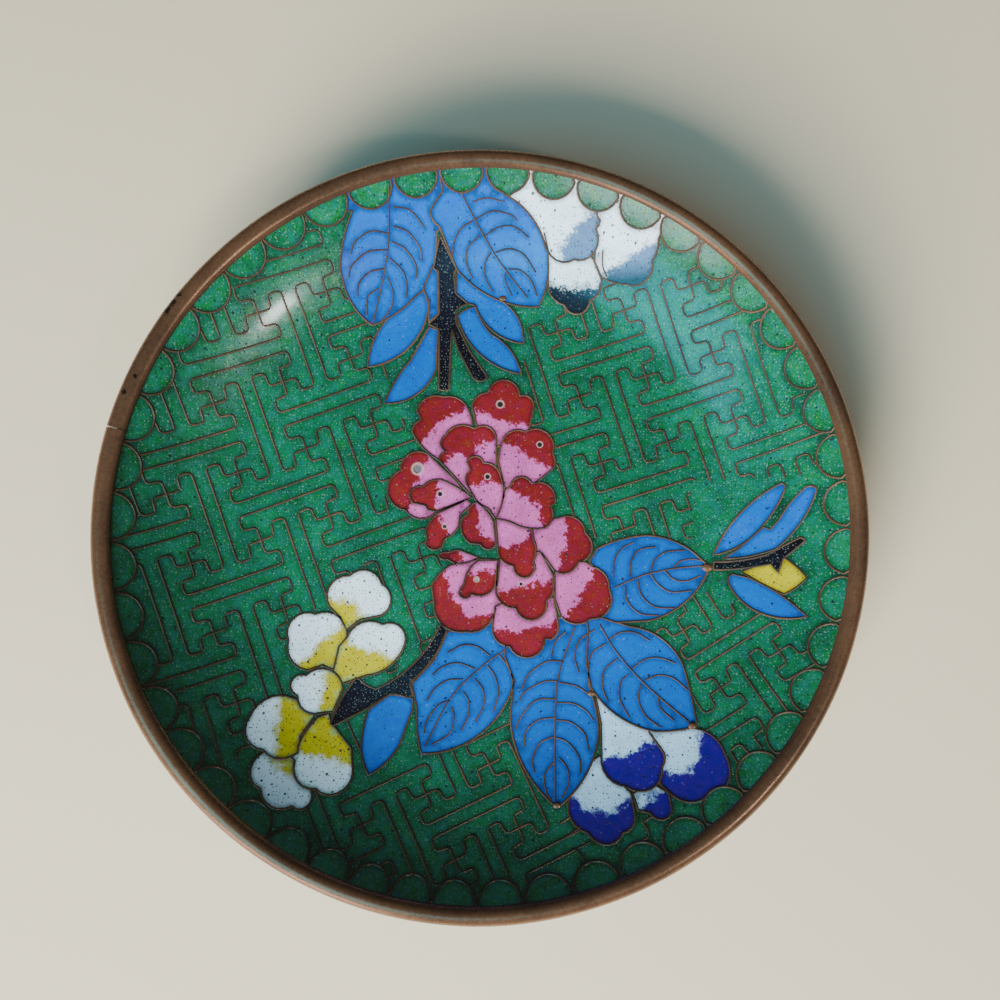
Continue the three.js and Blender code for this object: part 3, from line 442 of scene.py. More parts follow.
class DishColours(bpy.types.PropertyGroup):
    ground: bpy.props.FloatVectorProperty(
        name="Ground", description="Green of the ground", default=(0.003, 0.095, 0.047), subtype="COLOR")
    border: bpy.props.FloatVectorProperty(
        name="Border", description="Green of the scallops", default=(0.004, 0.1, 0.047), subtype="COLOR")
    azure: bpy.props.FloatVectorProperty(
        name="Azure", description="Blue of the leaves", default=(0.0, 0.088, 0.4), subtype="COLOR")
    red: bpy.props.FloatVectorProperty(
        name="Red", description="Outer colour of the peony", default=(0.16, 0.009, 0.014), subtype="COLOR")
    pink: bpy.props.FloatVectorProperty(
        name="Pink", description="Inner colour of the peony", default=(0.47, 0.1, 0.32), subtype="COLOR")
    white: bpy.props.FloatVectorProperty(
        name="White", description="White of the small flowers", default=(0.58, 0.75, 0.85), subtype="COLOR")
    pale_blue: bpy.props.FloatVectorProperty(
        name="Pale blue", description="Inner colour of the lower flower", default=(0.36, 0.6, 0.78),
        subtype="COLOR")
    yellow: bpy.props.FloatVectorProperty(
        name="Yellow", description="Yellow of the small flowers", default=(0.38, 0.34, 0.004),
        subtype="COLOR")
    cobalt: bpy.props.FloatVectorProperty(
        name="Cobalt", description="Blue of the lower flower", default=(0.016, 0.0, 0.18), subtype="COLOR")
    ink: bpy.props.FloatVectorProperty(
        name="Ink", description="Black of the stems", default=(0.003, 0.003, 0.009), subtype="COLOR")
    counter: bpy.props.FloatVectorProperty(
        name="Counter-enamel", description="Green of the outside", default=(0.01, 0.12, 0.075),
        subtype="COLOR")
    copper: bpy.props.FloatVectorProperty(
        name="Copper", description="Bright copper", default=(0.25, 0.13, 0.07), subtype="COLOR")
    patina: bpy.props.FloatVectorProperty(
        name="Patina", description="Brown patina of the rim", default=(0.1, 0.057, 0.035), subtype="COLOR")
    wire: bpy.props.FloatVectorProperty(
        name="Wire", description="Dark patina of the wires", default=(0.065, 0.042, 0.028), subtype="COLOR")


# Shape of the bowl

class Bowl:
    """Faces of the dish in millimetres, worked out from the sizes as in the part's solids"""

    SETTLING_ROUNDS = 40
    STEEPEST = 0.98

    def __init__(self, sizes):
        self.outer = sizes.outer_diameter / MM / 2
        self.rim = sizes.rim_diameter / MM / 2
        self.floor_radius = sizes.floor_radius / MM
        gap = sizes.layer_gap / MM
        self.gap = gap
        self.enamel_back = sizes.enamel / MM
        self.copper_face = self.enamel_back + gap
        self.copper_back = self.copper_face + sizes.copper / MM
        self.counter_face = self.copper_back + gap
        self.counter_back = self.counter_face + sizes.counter / MM
        self.floor = sizes.foot_height / MM + sizes.counter / MM + gap + self.copper_back
        self.rim_centre = (self.outer - self.rim, sizes.height / MM - self.rim)
        self.foot_outer = self.floor_radius
        self.foot_inner = self.floor_radius - sizes.foot_wall / MM
        seat = math.sqrt(self.rim ** 2 - (self.counter_back / 2) ** 2) + gap
        # the slope at the lip and the place of the lip depend on each other, so they settle in rounds
        slope = math.radians(45)
        for _ in range(self.SETTLING_ROUNDS):
            along = (math.cos(slope), math.sin(slope))
            edge = (self.rim_centre[0] - along[0] * seat - along[1] * self.counter_back / 2,
                    self.rim_centre[1] - along[1] * seat + along[0] * self.counter_back / 2)
            slope = 2 * math.atan2(edge[1] - self.floor, edge[0] - self.floor_radius)
        self.slope = slope
        self.arc = (edge[0] - self.floor_radius) / math.sin(slope)
        self.lip = edge[0]

    def face(self, depth, steps=24):
        """Radius and height of one face, from the middle out to the lip"""
        points = [(0.0, self.floor - depth)]
        for step in range(steps + 1):
            turn = self.slope * step / steps
            reach = self.arc + depth
            points.append((self.floor_radius + reach * math.sin(turn),
                           self.floor + self.arc - reach * math.cos(turn)))
        return points

    def place(self, xy, depth=0.0):
        """Points in metres on the face at a depth below plan points of the inside"""
        xy = np.asarray(xy, float).reshape(-1, 2)
        radius = np.maximum(np.hypot(xy[:, 0], xy[:, 1]), 1e-9)
        beyond = np.clip(radius - self.floor_radius, 0, self.arc * self.STEEPEST)
        sine = beyond / self.arc
        cosine = np.sqrt(1 - sine ** 2)
        height = self.floor + self.arc * (1 - cosine) - depth * cosine
        spread = 1 + depth * sine / radius
        return np.column_stack([xy * spread[:, None], height]) * MM


# Plan geometry

def arc_outline(corners, tolerance=0.03, longest=0.9):
    """Points of an outline whose sides may be arcs"""
    points = []
    for index, (x, y, bow) in enumerate(corners):
        start = np.array([x, y], float)
        end = np.array(corners[(index + 1) % len(corners)][:2], float)
        chord = end - start
        length = float(np.hypot(*chord))
        if bow == 0:
            pieces = max(1, round(length / longest))
            points += [start + chord * piece / pieces for piece in range(pieces)]
            continue
        angle = 4 * math.atan(abs(bow))
        radius = length / 2 / math.sin(angle / 2)
        facet = min(2 * math.acos(max(0.0, 1 - tolerance / radius)), longest / radius)
        pieces = max(2, round(angle / facet))
        out = np.array([chord[1], -chord[0]]) / length * math.copysign(1, bow)
        for piece in range(pieces):
            turn = angle * (piece / pieces - 0.5)
            along = math.sin(turn) * radius / length + 0.5
            rise = radius * (math.cos(turn) - math.cos(angle / 2))
            points.append(start + chord * along + out * rise)
    return np.array(points)


def contains(polygon, points):
    """Which points lie inside a polygon"""
    x, y = points[:, 0], points[:, 1]
    inside = np.zeros(len(points), bool)
    near = ((x >= polygon[:, 0].min()) & (x <= polygon[:, 0].max())
            & (y >= polygon[:, 1].min()) & (y <= polygon[:, 1].max()))
    x, y = x[near], y[near]
    found = np.zeros(len(x), bool)
    for (ax, ay), (bx, by) in zip(polygon, np.roll(polygon, -1, axis=0)):
        if ay == by:
            continue
        crosses = (ay > y) != (by > y)
        found ^= crosses & (x < (bx - ax) * (y - ay) / (by - ay) + ax)
    inside[near] = found
    return inside


def side_distance(line, points):
    """Distance of points to a broken line, above zero on its left"""
    best = np.full(len(points), 1e9)
    signed = np.zeros(len(points))
    line = np.asarray(line, float)
    last = len(line) - 2
    for index, (start, end) in enumerate(zip(line[:-1], line[1:])):
        along = end - start
        length = np.hypot(*along)
        rel = points - start
        share = rel @ along / length ** 2
        low = -1e9 if index == 0 else 0.0
        high = 1e9 if index == last else 1.0
        nearest = np.clip(share, low, high)
        gap = rel - nearest[:, None] * along
        distance = np.hypot(gap[:, 0], gap[:, 1])
        side = np.sign(along[0] * rel[:, 1] - along[1] * rel[:, 0])
        closer = distance < best
        best[closer] = distance[closer]
        signed[closer] = (side * distance)[closer]
    return signed


def smooth_path(points, step=0.45):
    """A smooth curve through a few points"""
    points = [np.array(p, float) for p in points]
    ends = [2 * points[0] - points[1]] + points + [2 * points[-1] - points[-2]]
    path = []
    for before, start, end, after in zip(ends, ends[1:], ends[2:], ends[3:]):
        count = max(2, round(float(np.hypot(*(end - start))) / step))
        for share in np.arange(count) / count:
            path.append(0.5 * (2 * start + (end - before) * share
                               + (2 * before - 5 * start + 4 * end - after) * share ** 2
                               + (3 * start - before - 3 * end + after) * share ** 3))
    path.append(points[-1])
    return np.array(path)


def rounded_path(points, radius, step=0.45):
    """A broken line with its corners rounded, and points at even steps"""
    shares = (1.0, 0.45, 0.12)
    draw_in = 0.35
    points = [np.array(p, float) for p in points]
    corners = [points[0]]
    for before, corner, after in zip(points, points[1:], points[2:]):
        back = (before - corner) / np.hypot(*(before - corner))
        ahead = (after - corner) / np.hypot(*(after - corner))
        for share in shares:
            corners.append(corner + back * radius * share + ahead * radius * (1 - share) ** 2 * draw_in)
        for share in reversed(shares):
            corners.append(corner + ahead * radius * share + back * radius * (1 - share) ** 2 * draw_in)
    corners.append(points[-1])
    path = [corners[0]]
    for start, end in zip(corners, corners[1:]):
        length = float(np.hypot(*(end - start)))
        if length < 1e-6:
            continue
        count = max(1, math.ceil(length / step))
        path += [start + (end - start) * (piece + 1) / count for piece in range(count)]
    return np.array(path)


def scallop_angles(count):
    """Angles of the points between the scallops, which drift a little round the lower left"""
    angles = []
    for index in range(count):
        turn = FIRST_CUSP - 360 * index / count
        rise = min(max((DRIFT_START - turn) / DRIFT_GROWTH, 0), 1)
        fall = min(max((DRIFT_END - turn) / DRIFT_DECLINE, 0), 1)
        drift = CUSP_DRIFT * rise ** 2 * (3 - 2 * rise) * (1 - fall ** 2 * (3 - 2 * fall))
        angles.append(math.radians(turn + drift))
    return angles


class Layout:
    """The plan of the picture: which field lies where, and the wires between them

    Lengths are in millimetres. SPACING and ROW set the grid of points inside the enamel, CLEAR is
    how near a grid point may come to an outline, as a share of the spacing, and SMALLEST is the
    area of the smallest scrap that stays a field. The RIM values say how the fields meet the rim,
    the ARC values how a scallop is drawn, and the FRET values how far and how finely the fretwork
    is laid out. A stretch of it that mostly runs nearer to another wire than BESIDE is left out.
    """

    SPACING = 0.85
    ROW = 0.866
    CLEAR = 0.42
    SMALLEST = 1.3
    MERGE_ROUNDS = 3
    UNDER_RIM = 0.12
    RIM_FACETS = 288
    RIM_MARGIN = 0.4
    RIM_BAND = 2.3
    RIM_REACH = 1.6
    CUSP_GAP = 0.17
    ARC_END = 1.62
    ARC_POINTS = 17
    ARC_MARGIN = 0.02
    FRET_CELLS = 14
    FRET_CORNER = 0.75
    FRET_STEP = 0.3
    FRET_MARGIN = 0.3
    FRET_BEYOND = 3
    FEWEST_POINTS = 5
    BESIDE = 0.7

    def __init__(self, bowl, sizes):
        self.bowl = bowl
        scale = bowl.outer / DRAWN_RADIUS
        self.edge = bowl.lip + self.UNDER_RIM
        self.outlines = [arc_outline([(x * scale, y * scale, bow) for x, y, bow in corners])
                         for _, _, corners in FIELDS]
        self.scallops = self.scallop_shapes(sizes.scallops, sizes.scallop_depth / MM)
        self.split()
        self.veins = [smooth_path(np.array(vein) * scale) for vein in VEINS]
        self.cloisons, self.arcs = self.field_wires()
        self.frets = self.fret_paths(scale, sizes.fret_squeeze)

    def scallop_shapes(self, count, depth):
        """Half ellipses along the rim, as (middle, inward, along, half width, depth)"""
        angles = scallop_angles(count)
        reach = self.bowl.outer - 2 * self.bowl.rim
        shapes = []
        for first, second in zip(angles, angles[1:] + [angles[0] - 2 * math.pi]):
            middle = (first + second) / 2
            half = reach * math.sin(abs(first - second) / 2) - self.CUSP_GAP
            outward = np.array([math.cos(middle), math.sin(middle)])
            shapes.append((outward * reach, -outward, np.array([-outward[1], outward[0]]), half, depth))
        return shapes

    def in_border(self, points):
        """Which points lie in a scallop"""
        inside = np.zeros(len(points), bool)
        for middle, inward, along, half, depth in self.scallops:
            rel = points - middle
            inside |= (rel @ along / half) ** 2 + (rel @ inward / depth) ** 2 < 1
        return inside

    def in_picture(self, points):
        """Which points lie in a field of the picture"""
        inside = np.zeros(len(points), bool)
        for outline in self.outlines:
            inside |= contains(outline, points)
        return inside

    def split(self):
        """Cuts the disc of enamel into triangles, each labelled with its field"""
        points, edges = [], []

        def add_loop(loop, closed=True):
            first = len(points)
            points.extend(loop)
            count = len(loop)
            for index in range(count if closed else count - 1):
                edges.append((first + index, first + (index + 1) % count))

        add_loop([np.array([math.cos(a), math.sin(a)]) * self.edge
                  for a in np.arange(self.RIM_FACETS) * 2 * math.pi / self.RIM_FACETS])
        for outline in self.outlines:
            add_loop(list(outline))
        for middle, inward, along, half, depth in self.scallops:
            arc = [middle + inward * depth * math.cos(a) + along * half * math.sin(a)
                   for a in np.linspace(-self.ARC_END, self.ARC_END, self.ARC_POINTS)]
            add_loop([p for p in arc if np.hypot(*p) < self.edge - self.ARC_MARGIN], closed=False)
        tree = kdtree.KDTree(len(points))
        for index, point in enumerate(points):
            tree.insert((point[0], point[1], 0), index)
        tree.balance()
        rows = int(2 * self.edge / (self.SPACING * self.ROW)) + 1
        for row in range(rows):
            y = -self.edge + row * self.SPACING * self.ROW
            half = math.sqrt(max(0.0, (self.edge - self.RIM_MARGIN) ** 2 - y * y))
            start = (row % 2) * self.SPACING / 2
            for column in range(-int(half / self.SPACING), int(half / self.SPACING) + 1):
                x = column * self.SPACING + start
                if abs(x) > half:
                    continue
                if tree.find((x, y, 0))[2] > self.CLEAR * self.SPACING:
                    points.append(np.array([x, y]))
        result = delaunay_2d_cdt([Vector(p) for p in points], edges, [], 0, 1e-5, False)
        self.points = np.array([tuple(p) for p in result[0]])
        triangles = np.array([tuple(t) for t in result[2] if len(t) == 3])
        centres = self.points[triangles].mean(axis=1)
        keep = np.hypot(centres[:, 0], centres[:, 1]) < self.edge
        self.triangles, centres = triangles[keep], centres[keep]
        labels = np.full(len(centres), GROUND)
        # a field that comes near the rim runs straight out to it between the scallops
        reach = np.hypot(centres[:, 0], centres[:, 1])
        inward = centres * np.minimum(1, (self.edge - self.RIM_BAND) / np.maximum(reach, 1e-9))[:, None]
        for index in reversed(range(len(FIELDS))):
            outline = self.outlines[index]
            at_rim = np.hypot(outline[:, 0], outline[:, 1]).max() > self.edge - self.RIM_REACH
            labels[contains(outline, inward if at_rim else centres)] = index
        labels[self.in_border(centres)] = BORDER
        self.labels = labels
        self.merge_slivers()

    def neighbours(self):
        """The triangles on each edge"""
        sides = {}
        for index, triangle in enumerate(self.triangles):
            for a, b in zip(triangle, np.roll(triangle, -1)):
                sides.setdefault((min(a, b), max(a, b)), []).append(index)
        return sides

    def merge_slivers(self):
        """Gives each tiny scrap of a field to the neighbour that it shares most with"""
        self.sides = self.neighbours()
        beside = [[] for _ in self.triangles]
        for (a, b), found in self.sides.items():
            if len(found) == 2:
                length = float(np.hypot(*(self.points[a] - self.points[b])))
                beside[found[0]].append((found[1], length))
                beside[found[1]].append((found[0], length))
        p = self.points[self.triangles]
        first, second = p[:, 1] - p[:, 0], p[:, 2] - p[:, 0]
        areas = np.abs(first[:, 0] * second[:, 1] - first[:, 1] * second[:, 0]) / 2
        for _ in range(self.MERGE_ROUNDS):
            seen = np.zeros(len(self.triangles), bool)
            changed = False
            for start in range(len(self.triangles)):
                if seen[start]:
                    continue
                group, stack, label = [], [start], self.labels[start]
                seen[start] = True
                around = {}
                while stack:
                    here = stack.pop()
                    group.append(here)
                    for other, length in beside[here]:
                        if self.labels[other] == label:
                            if not seen[other]:
                                seen[other] = True
                                stack.append(other)
                        else:
                            key = self.labels[other]
                            around[key] = around.get(key, 0) + length
                if areas[group].sum() < self.SMALLEST and around:
                    self.labels[group] = max(around, key=around.get)
                    changed = True
            if not changed:
                break

    def field_wires(self):
        """Chains of edges between unlike fields, and those that edge the scallops"""
        inner, border = [], []
        for (a, b), found in self.sides.items():
            if len(found) == 2 and self.labels[found[0]] != self.labels[found[1]]:
                is_border = BORDER in (self.labels[found[0]], self.labels[found[1]])
                (border if is_border else inner).append((a, b))
        return self.chains(inner), self.chains(border)

    def chains(self, edges):
        """Joins edges end to end into paths that stop where three or more meet"""
        links = {}
        for a, b in edges:
            links.setdefault(a, []).append(b)
            links.setdefault(b, []).append(a)
        used, paths = set(), []

        def walk(start, following):
            path = [start, following]
            used.add((min(start, following), max(start, following)))
            while len(links[path[-1]]) == 2:
                ahead = [n for n in links[path[-1]]
                         if (min(n, path[-1]), max(n, path[-1])) not in used]
                if not ahead:
                    break
                used.add((min(ahead[0], path[-1]), max(ahead[0], path[-1])))
                path.append(ahead[0])
            return path

        order = sorted(links, key=lambda v: (len(links[v]) == 2, v))
        for vertex in order:
            for other in links[vertex]:
                if (min(vertex, other), max(vertex, other)) not in used:
                    paths.append(self.points[walk(vertex, other)])
        return paths

    def fret_paths(self, scale, squeeze):
        """The fretwork: crosses on a square grid, each joined to the next by a bent wire"""
        arm = [(0, 0), (0, 1), (-1, 1), (-1, 2), (6, 2), (6, 1), (5, 1), (5, 0)]
        spots = np.vstack(self.cloisons + self.arcs)
        self.near = kdtree.KDTree(len(spots))
        for index, (x, y) in enumerate(spots):
            self.near.insert((x, y, 0), index)
        self.near.balance()
        cells = range(-self.FRET_CELLS, self.FRET_CELLS + 1)
        paths = []
        for x, y, turn, pitch, region in FRET_PATCHES:
            unit = pitch / 5
            angle = math.radians(turn)
            region = np.array(region, float) * scale
            for column in cells:
                for row in cells:
                    if (column + row) % 2:
                        continue
                    for quarter in range(4):
                        spin = angle + quarter * math.pi / 2
                        along = np.array([math.cos(spin), math.sin(spin)]) * unit
                        across = np.array([-along[1], along[0]])
                        centre = np.array([x, y]) + pitch * (
                            column * np.array([math.cos(angle), math.sin(angle)])
                            + row * np.array([-math.sin(angle), math.cos(angle)]))
                        corners = [(centre + u * along + v * across) * scale for u, v in arm]
                        if min(np.hypot(*c) for c in corners) > self.edge + self.FRET_BEYOND:
                            continue
                        path = rounded_path(corners, self.FRET_CORNER, self.FRET_STEP)
                        reach = np.hypot(path[:, 0], path[:, 1])
                        floor = self.bowl.floor_radius
                        beyond = np.maximum(reach - floor, 0)
                        closed = np.minimum(reach, floor) + beyond * (1 - squeeze * beyond)
                        path = path * (closed / np.maximum(reach, 1e-9))[:, None]
                        paths += self.trim(path, region, scale)
        return paths

    def trim(self, path, region, scale):
        """The stretches of a path that lie on open ground inside its region"""
        free = ((np.hypot(path[:, 0], path[:, 1]) < self.edge - self.FRET_MARGIN) & contains(region, path)
                & ~self.in_picture(path) & ~self.in_border(path))
        for bare in FRET_BARE:
            free &= ~contains(np.array(bare, float) * scale, path)
        stretches, current = [], []
        for point, is_free in zip(path, free):
            if is_free:
                current.append(point)
            else:
                if current:
                    current.append(point)
                    stretches.append(np.array(current))
                current = []
        if current:
            stretches.append(np.array(current))
        return [s for s in stretches if len(s) > self.FEWEST_POINTS and not self.hugs(s)]

    def hugs(self, path):
        """Whether most of a path runs close beside a wire that is there already"""
        gaps = [self.near.find((x, y, 0))[2] for x, y in path]
        return float(np.median(gaps)) < self.BESIDE


_layout = {}


def layout_of(context):
    """The bowl and the picture's plan, worked out once for a set of sizes"""
    sizes = context.scene.dish_sizes
    key = tuple(getattr(sizes, name) for name in DishSizes.__annotations__)
    if key not in _layout:
        bowl = Bowl(sizes)
        _layout[key] = (bowl, Layout(bowl, sizes))
    return _layout[key]


# Materials

class Graph:
    """Short ways to add and join shader nodes"""

    def __init__(self, tree):
        self.tree = tree
        tree.nodes.clear()

    def add(self, kind, inputs=None, **settings):
        node = self.tree.nodes.new(kind)
        for name, value in settings.items():
            setattr(node, name, value)
        for name, value in (inputs or {}).items():
            socket = node.inputs[name]
            if isinstance(value, bpy.types.NodeSocket):
                self.tree.links.new(value, socket)
            else:
                socket.default_value = value
        return node

    def math(self, operation, first, second=0.0, clamp=False):
        return self.add("ShaderNodeMath", {0: first, 1: second}, operation=operation,
                        use_clamp=clamp).outputs[0]

    def mix(self, factor, first, second, blend="MIX"):
        node = self.add("ShaderNodeMix", data_type="RGBA", blend_type=blend)
        for index, value in ((0, factor), (6, first), (7, second)):
            if isinstance(value, bpy.types.NodeSocket):
                self.tree.links.new(value, node.inputs[index])
            else:
                node.inputs[index].default_value = value
        return node.outputs[2]

    def spread(self, value, low, high, to_low=0.0, to_high=1.0):
        return self.add("ShaderNodeMapRange", {0: value, 1: low, 2: high, 3: to_low, 4: to_high}).outputs[0]

    def noise(self, vector, scale, detail=2.0, roughness=0.5):
        return self.add("ShaderNodeTexNoise", {"Vector": vector, "Scale": scale, "Detail": detail,
                                               "Roughness": roughness}).outputs["Fac"]

    def dots(self, place, scale, offset, chance, smallest, largest, soft):
        """Mask of scattered round dots, of which a share shows"""
        moved = self.add("ShaderNodeVectorMath", {0: place, 1: offset}).outputs[0]
        cell = self.add("ShaderNodeTexVoronoi", {"Vector": moved, "Scale": scale}, voronoi_dimensions="2D")
        dice = self.add("ShaderNodeSeparateColor", {0: cell.outputs["Color"]})
        size = self.spread(dice.outputs[1], 0.0, 1.0, smallest * scale, largest * scale)
        shown = self.math("LESS_THAN", dice.outputs[0], chance)
        inside = self.spread(self.math("SUBTRACT", size, cell.outputs["Distance"]), -soft * scale,
                             soft * scale)
        return self.math("MULTIPLY", shown, inside)

    def grey(self, value):
        return self.add("ShaderNodeCombineColor", {0: value, 1: value, 2: value}).outputs[0]

    def flat(self, place):
        """A place with its height left out"""
        parts = self.add("ShaderNodeSeparateXYZ", {0: place}).outputs
        return self.add("ShaderNodeCombineXYZ", {0: parts[0], 1: parts[1]}).outputs[0]

    def distance(self, first, second):
        return self.add("ShaderNodeVectorMath", {0: first, 1: second}, operation="DISTANCE").outputs["Value"]

    def millimetres(self):
        place = self.add("ShaderNodeTexCoord").outputs["Object"]
        return self.add("ShaderNodeVectorMath", {0: place, "Scale": 1000.0}, operation="SCALE").outputs[0]

    def attribute(self, name):
        return self.add("ShaderNodeAttribute", attribute_name=name).outputs["Fac"]


def new_group(name, inputs, outputs):
    """An empty node group with its sockets, and the graph to fill it with"""
    group = bpy.data.node_groups.new(name, "ShaderNodeTree")
    for label, kind, value in inputs:
        socket = group.interface.new_socket(label, in_out="INPUT", socket_type=kind)
        socket.default_value = value
    for label, kind in outputs:
        group.interface.new_socket(label, in_out="OUTPUT", socket_type=kind)
    graph = Graph(group)
    return group, graph, graph.add("NodeGroupInput").outputs, graph.add("NodeGroupOutput").inputs


def enamel_group():
    """Fired enamel: mottled powder, pale specks, dark pits and a dark line beside the wires"""
    if "Fired enamel" in bpy.data.node_groups:
        return bpy.data.node_groups["Fired enamel"]
    group, g, given, out = new_group(
        "Fired enamel",
        [("Color", "NodeSocketColor", (0.5, 0.5, 0.5, 1)), ("Mottle", "NodeSocketFloat", 0.3),
         ("Drift", "NodeSocketFloat", 0.1), ("Specks", "NodeSocketFloat", 0.3),
         ("Pits", "NodeSocketFloat", 0.4), ("Edge", "NodeSocketFloat", 1.0)],
        [("Color", "NodeSocketColor"), ("Roughness", "NodeSocketFloat"), ("Height", "NodeSocketFloat")])
    place = g.millimetres()
    fine = g.noise(place, 4.2, 3.0, 0.85)
    broad = g.noise(place, 0.25, 3.0)
    tone = g.math("ADD", g.spread(fine, 0.3, 0.7, -1.0, 1.0), g.spread(broad, 0.3, 0.7, -0.6, 0.6))
    tone = g.math("ADD", g.math("MULTIPLY", tone, given["Mottle"]), 1.0)
    color = g.mix(1.0, given["Color"], g.grey(tone), "MULTIPLY")
    swing = g.math("SUBTRACT", g.noise(place, 0.9, 3.0, 0.6), 0.5)
    hue = g.math("ADD", g.math("MULTIPLY", swing, given["Drift"]), 0.5)
    color = g.add("ShaderNodeHueSaturation", {"Hue": hue, "Color": color}).outputs[0]
    color = g.mix(1.0, color, g.grey(g.spread(given["Edge"], 0.1, 0.6, 0.45, 1.0)), "MULTIPLY")
    pale = g.mix(0.4, given["Color"], SPECK_TINT)
    speck = g.math("MAXIMUM", g.dots(place, 2.6, (3.3, 8.1, 0), given["Specks"], 0.01, 0.08, 0.03),
                   g.dots(place, 0.9, (21.7, 2.9, 0), g.math("MULTIPLY", given["Specks"], 0.7),
                          0.03, 0.11, 0.03))
    color = g.mix(g.math("MULTIPLY", speck, 0.4), color, pale)
    pit = g.math("MAXIMUM", g.dots(place, 0.62, (37.1, 11.7, 0), given["Pits"], 0.06, 0.18, 0.02),
                 g.dots(place, 2.1, (7.7, 31.3, 0), given["Pits"], 0.02, 0.09, 0.02))
    color = g.mix(g.math("MULTIPLY", pit, 0.9), color, PIT_COLOUR)
    g.tree.links.new(color, out["Color"])
    rough = g.spread(g.noise(place, 0.9, 3.0), 0.3, 0.75, 0.2, 0.38)
    g.tree.links.new(g.math("ADD", rough, g.math("MULTIPLY", pit, 0.3)), out["Roughness"])
    wave = g.math("MULTIPLY", g.noise(place, 0.5, 2.0), 0.12)
    height = g.math("ADD", wave, g.math("MULTIPLY", fine, 0.02))
    g.tree.links.new(g.math("SUBTRACT", height, g.math("MULTIPLY", pit, 0.06)), out["Height"])
    return group


def copper_group():
    """Aged copper: brown patina, bright rubs, dark spots and fine scratches round the ring"""
    if "Aged copper" in bpy.data.node_groups:
        return bpy.data.node_groups["Aged copper"]
    group, g, given, out = new_group(
        "Aged copper",
        [("Bright", "NodeSocketColor", (0.5, 0.22, 0.1, 1)),
         ("Patina", "NodeSocketColor", (0.12, 0.05, 0.02, 1)),
         ("Wear", "NodeSocketFloat", 0.5), ("Spots", "NodeSocketFloat", 0.3),
         ("Streaks", "NodeSocketFloat", 0.0), ("Seam", "NodeSocketFloat", 0.0)],
        [("Color", "NodeSocketColor"), ("Roughness", "NodeSocketFloat"), ("Height", "NodeSocketFloat")])
    place = g.millimetres()
    from_seam = g.math("SUBTRACT", math.pi, given["Seam"])
    spun = g.add("ShaderNodeVectorRotate", {"Vector": place, "Angle": from_seam},
                 rotation_type="Z_AXIS").outputs[0]
    parts = g.add("ShaderNodeSeparateXYZ", {0: spun}).outputs
    turn = g.math("MULTIPLY", g.math("ARCTAN2", parts[1], parts[0]), 12.0)
    reach = g.math("MULTIPLY", g.add("ShaderNodeVectorMath", {0: g.flat(place)},
                                     operation="LENGTH").outputs["Value"], 4.5)
    level = g.math("MULTIPLY", parts[2], 4.5)
    ring = g.add("ShaderNodeCombineXYZ", {0: turn, 1: reach, 2: level}).outputs[0]
    streak = g.math("MULTIPLY", g.math("SUBTRACT", g.noise(ring, 1.0, 4.0, 0.65), 0.5), given["Streaks"])
    broad = g.noise(place, 0.1, 3.0, 0.5)
    fine = g.noise(place, 1.8, 4.0, 0.65)
    worn = g.math("ADD", g.math("MULTIPLY", broad, 0.7), g.math("MULTIPLY", fine, 0.35))
    worn = g.math("ADD", g.math("ADD", worn, streak), g.math("SUBTRACT", given["Wear"], 1.02))
    color = g.mix(g.spread(worn, -0.2, 0.3), given["Patina"], given["Bright"])
    spot = g.spread(g.noise(place, 0.8, 5.0, 0.7), 0.62, 0.72)
    spot = g.math("MULTIPLY", spot, given["Spots"])
    color = g.mix(spot, color, SPOT_COLOUR)
    g.tree.links.new(color, out["Color"])
    rough = g.math("ADD", g.spread(fine, 0.3, 0.7, 0.22, 0.36), g.math("MULTIPLY", spot, 0.2))
    g.tree.links.new(g.math("SUBTRACT", rough, g.math("MULTIPLY", streak, 0.3)), out["Roughness"])
    height = g.math("ADD", g.math("MULTIPLY", fine, 0.03), g.math("MULTIPLY", streak, 0.05))
    g.tree.links.new(height, out["Height"])
    return group


def rgba(color):
    """A colour with its alpha"""
    return (color[0], color[1], color[2], 1.0)


def finish_material(material, g, color, rough, height, metallic=0.0, coat=0.0, strength=0.5, gloss=0.4):
    """Joins a finish to its shader, with the height as bump"""
    bump = g.add("ShaderNodeBump", {"Height": height, "Strength": strength, "Distance": 0.001})
    shader = g.add("ShaderNodeBsdfPrincipled", {
        "Base Color": color, "Roughness": rough, "Metallic": metallic, "Coat Weight": coat,
        "Coat Roughness": 0.12, "Specular IOR Level": gloss, "Normal": bump.outputs[0]})
    g.add("ShaderNodeOutputMaterial", {"Surface": shader.outputs[0]})
    return material


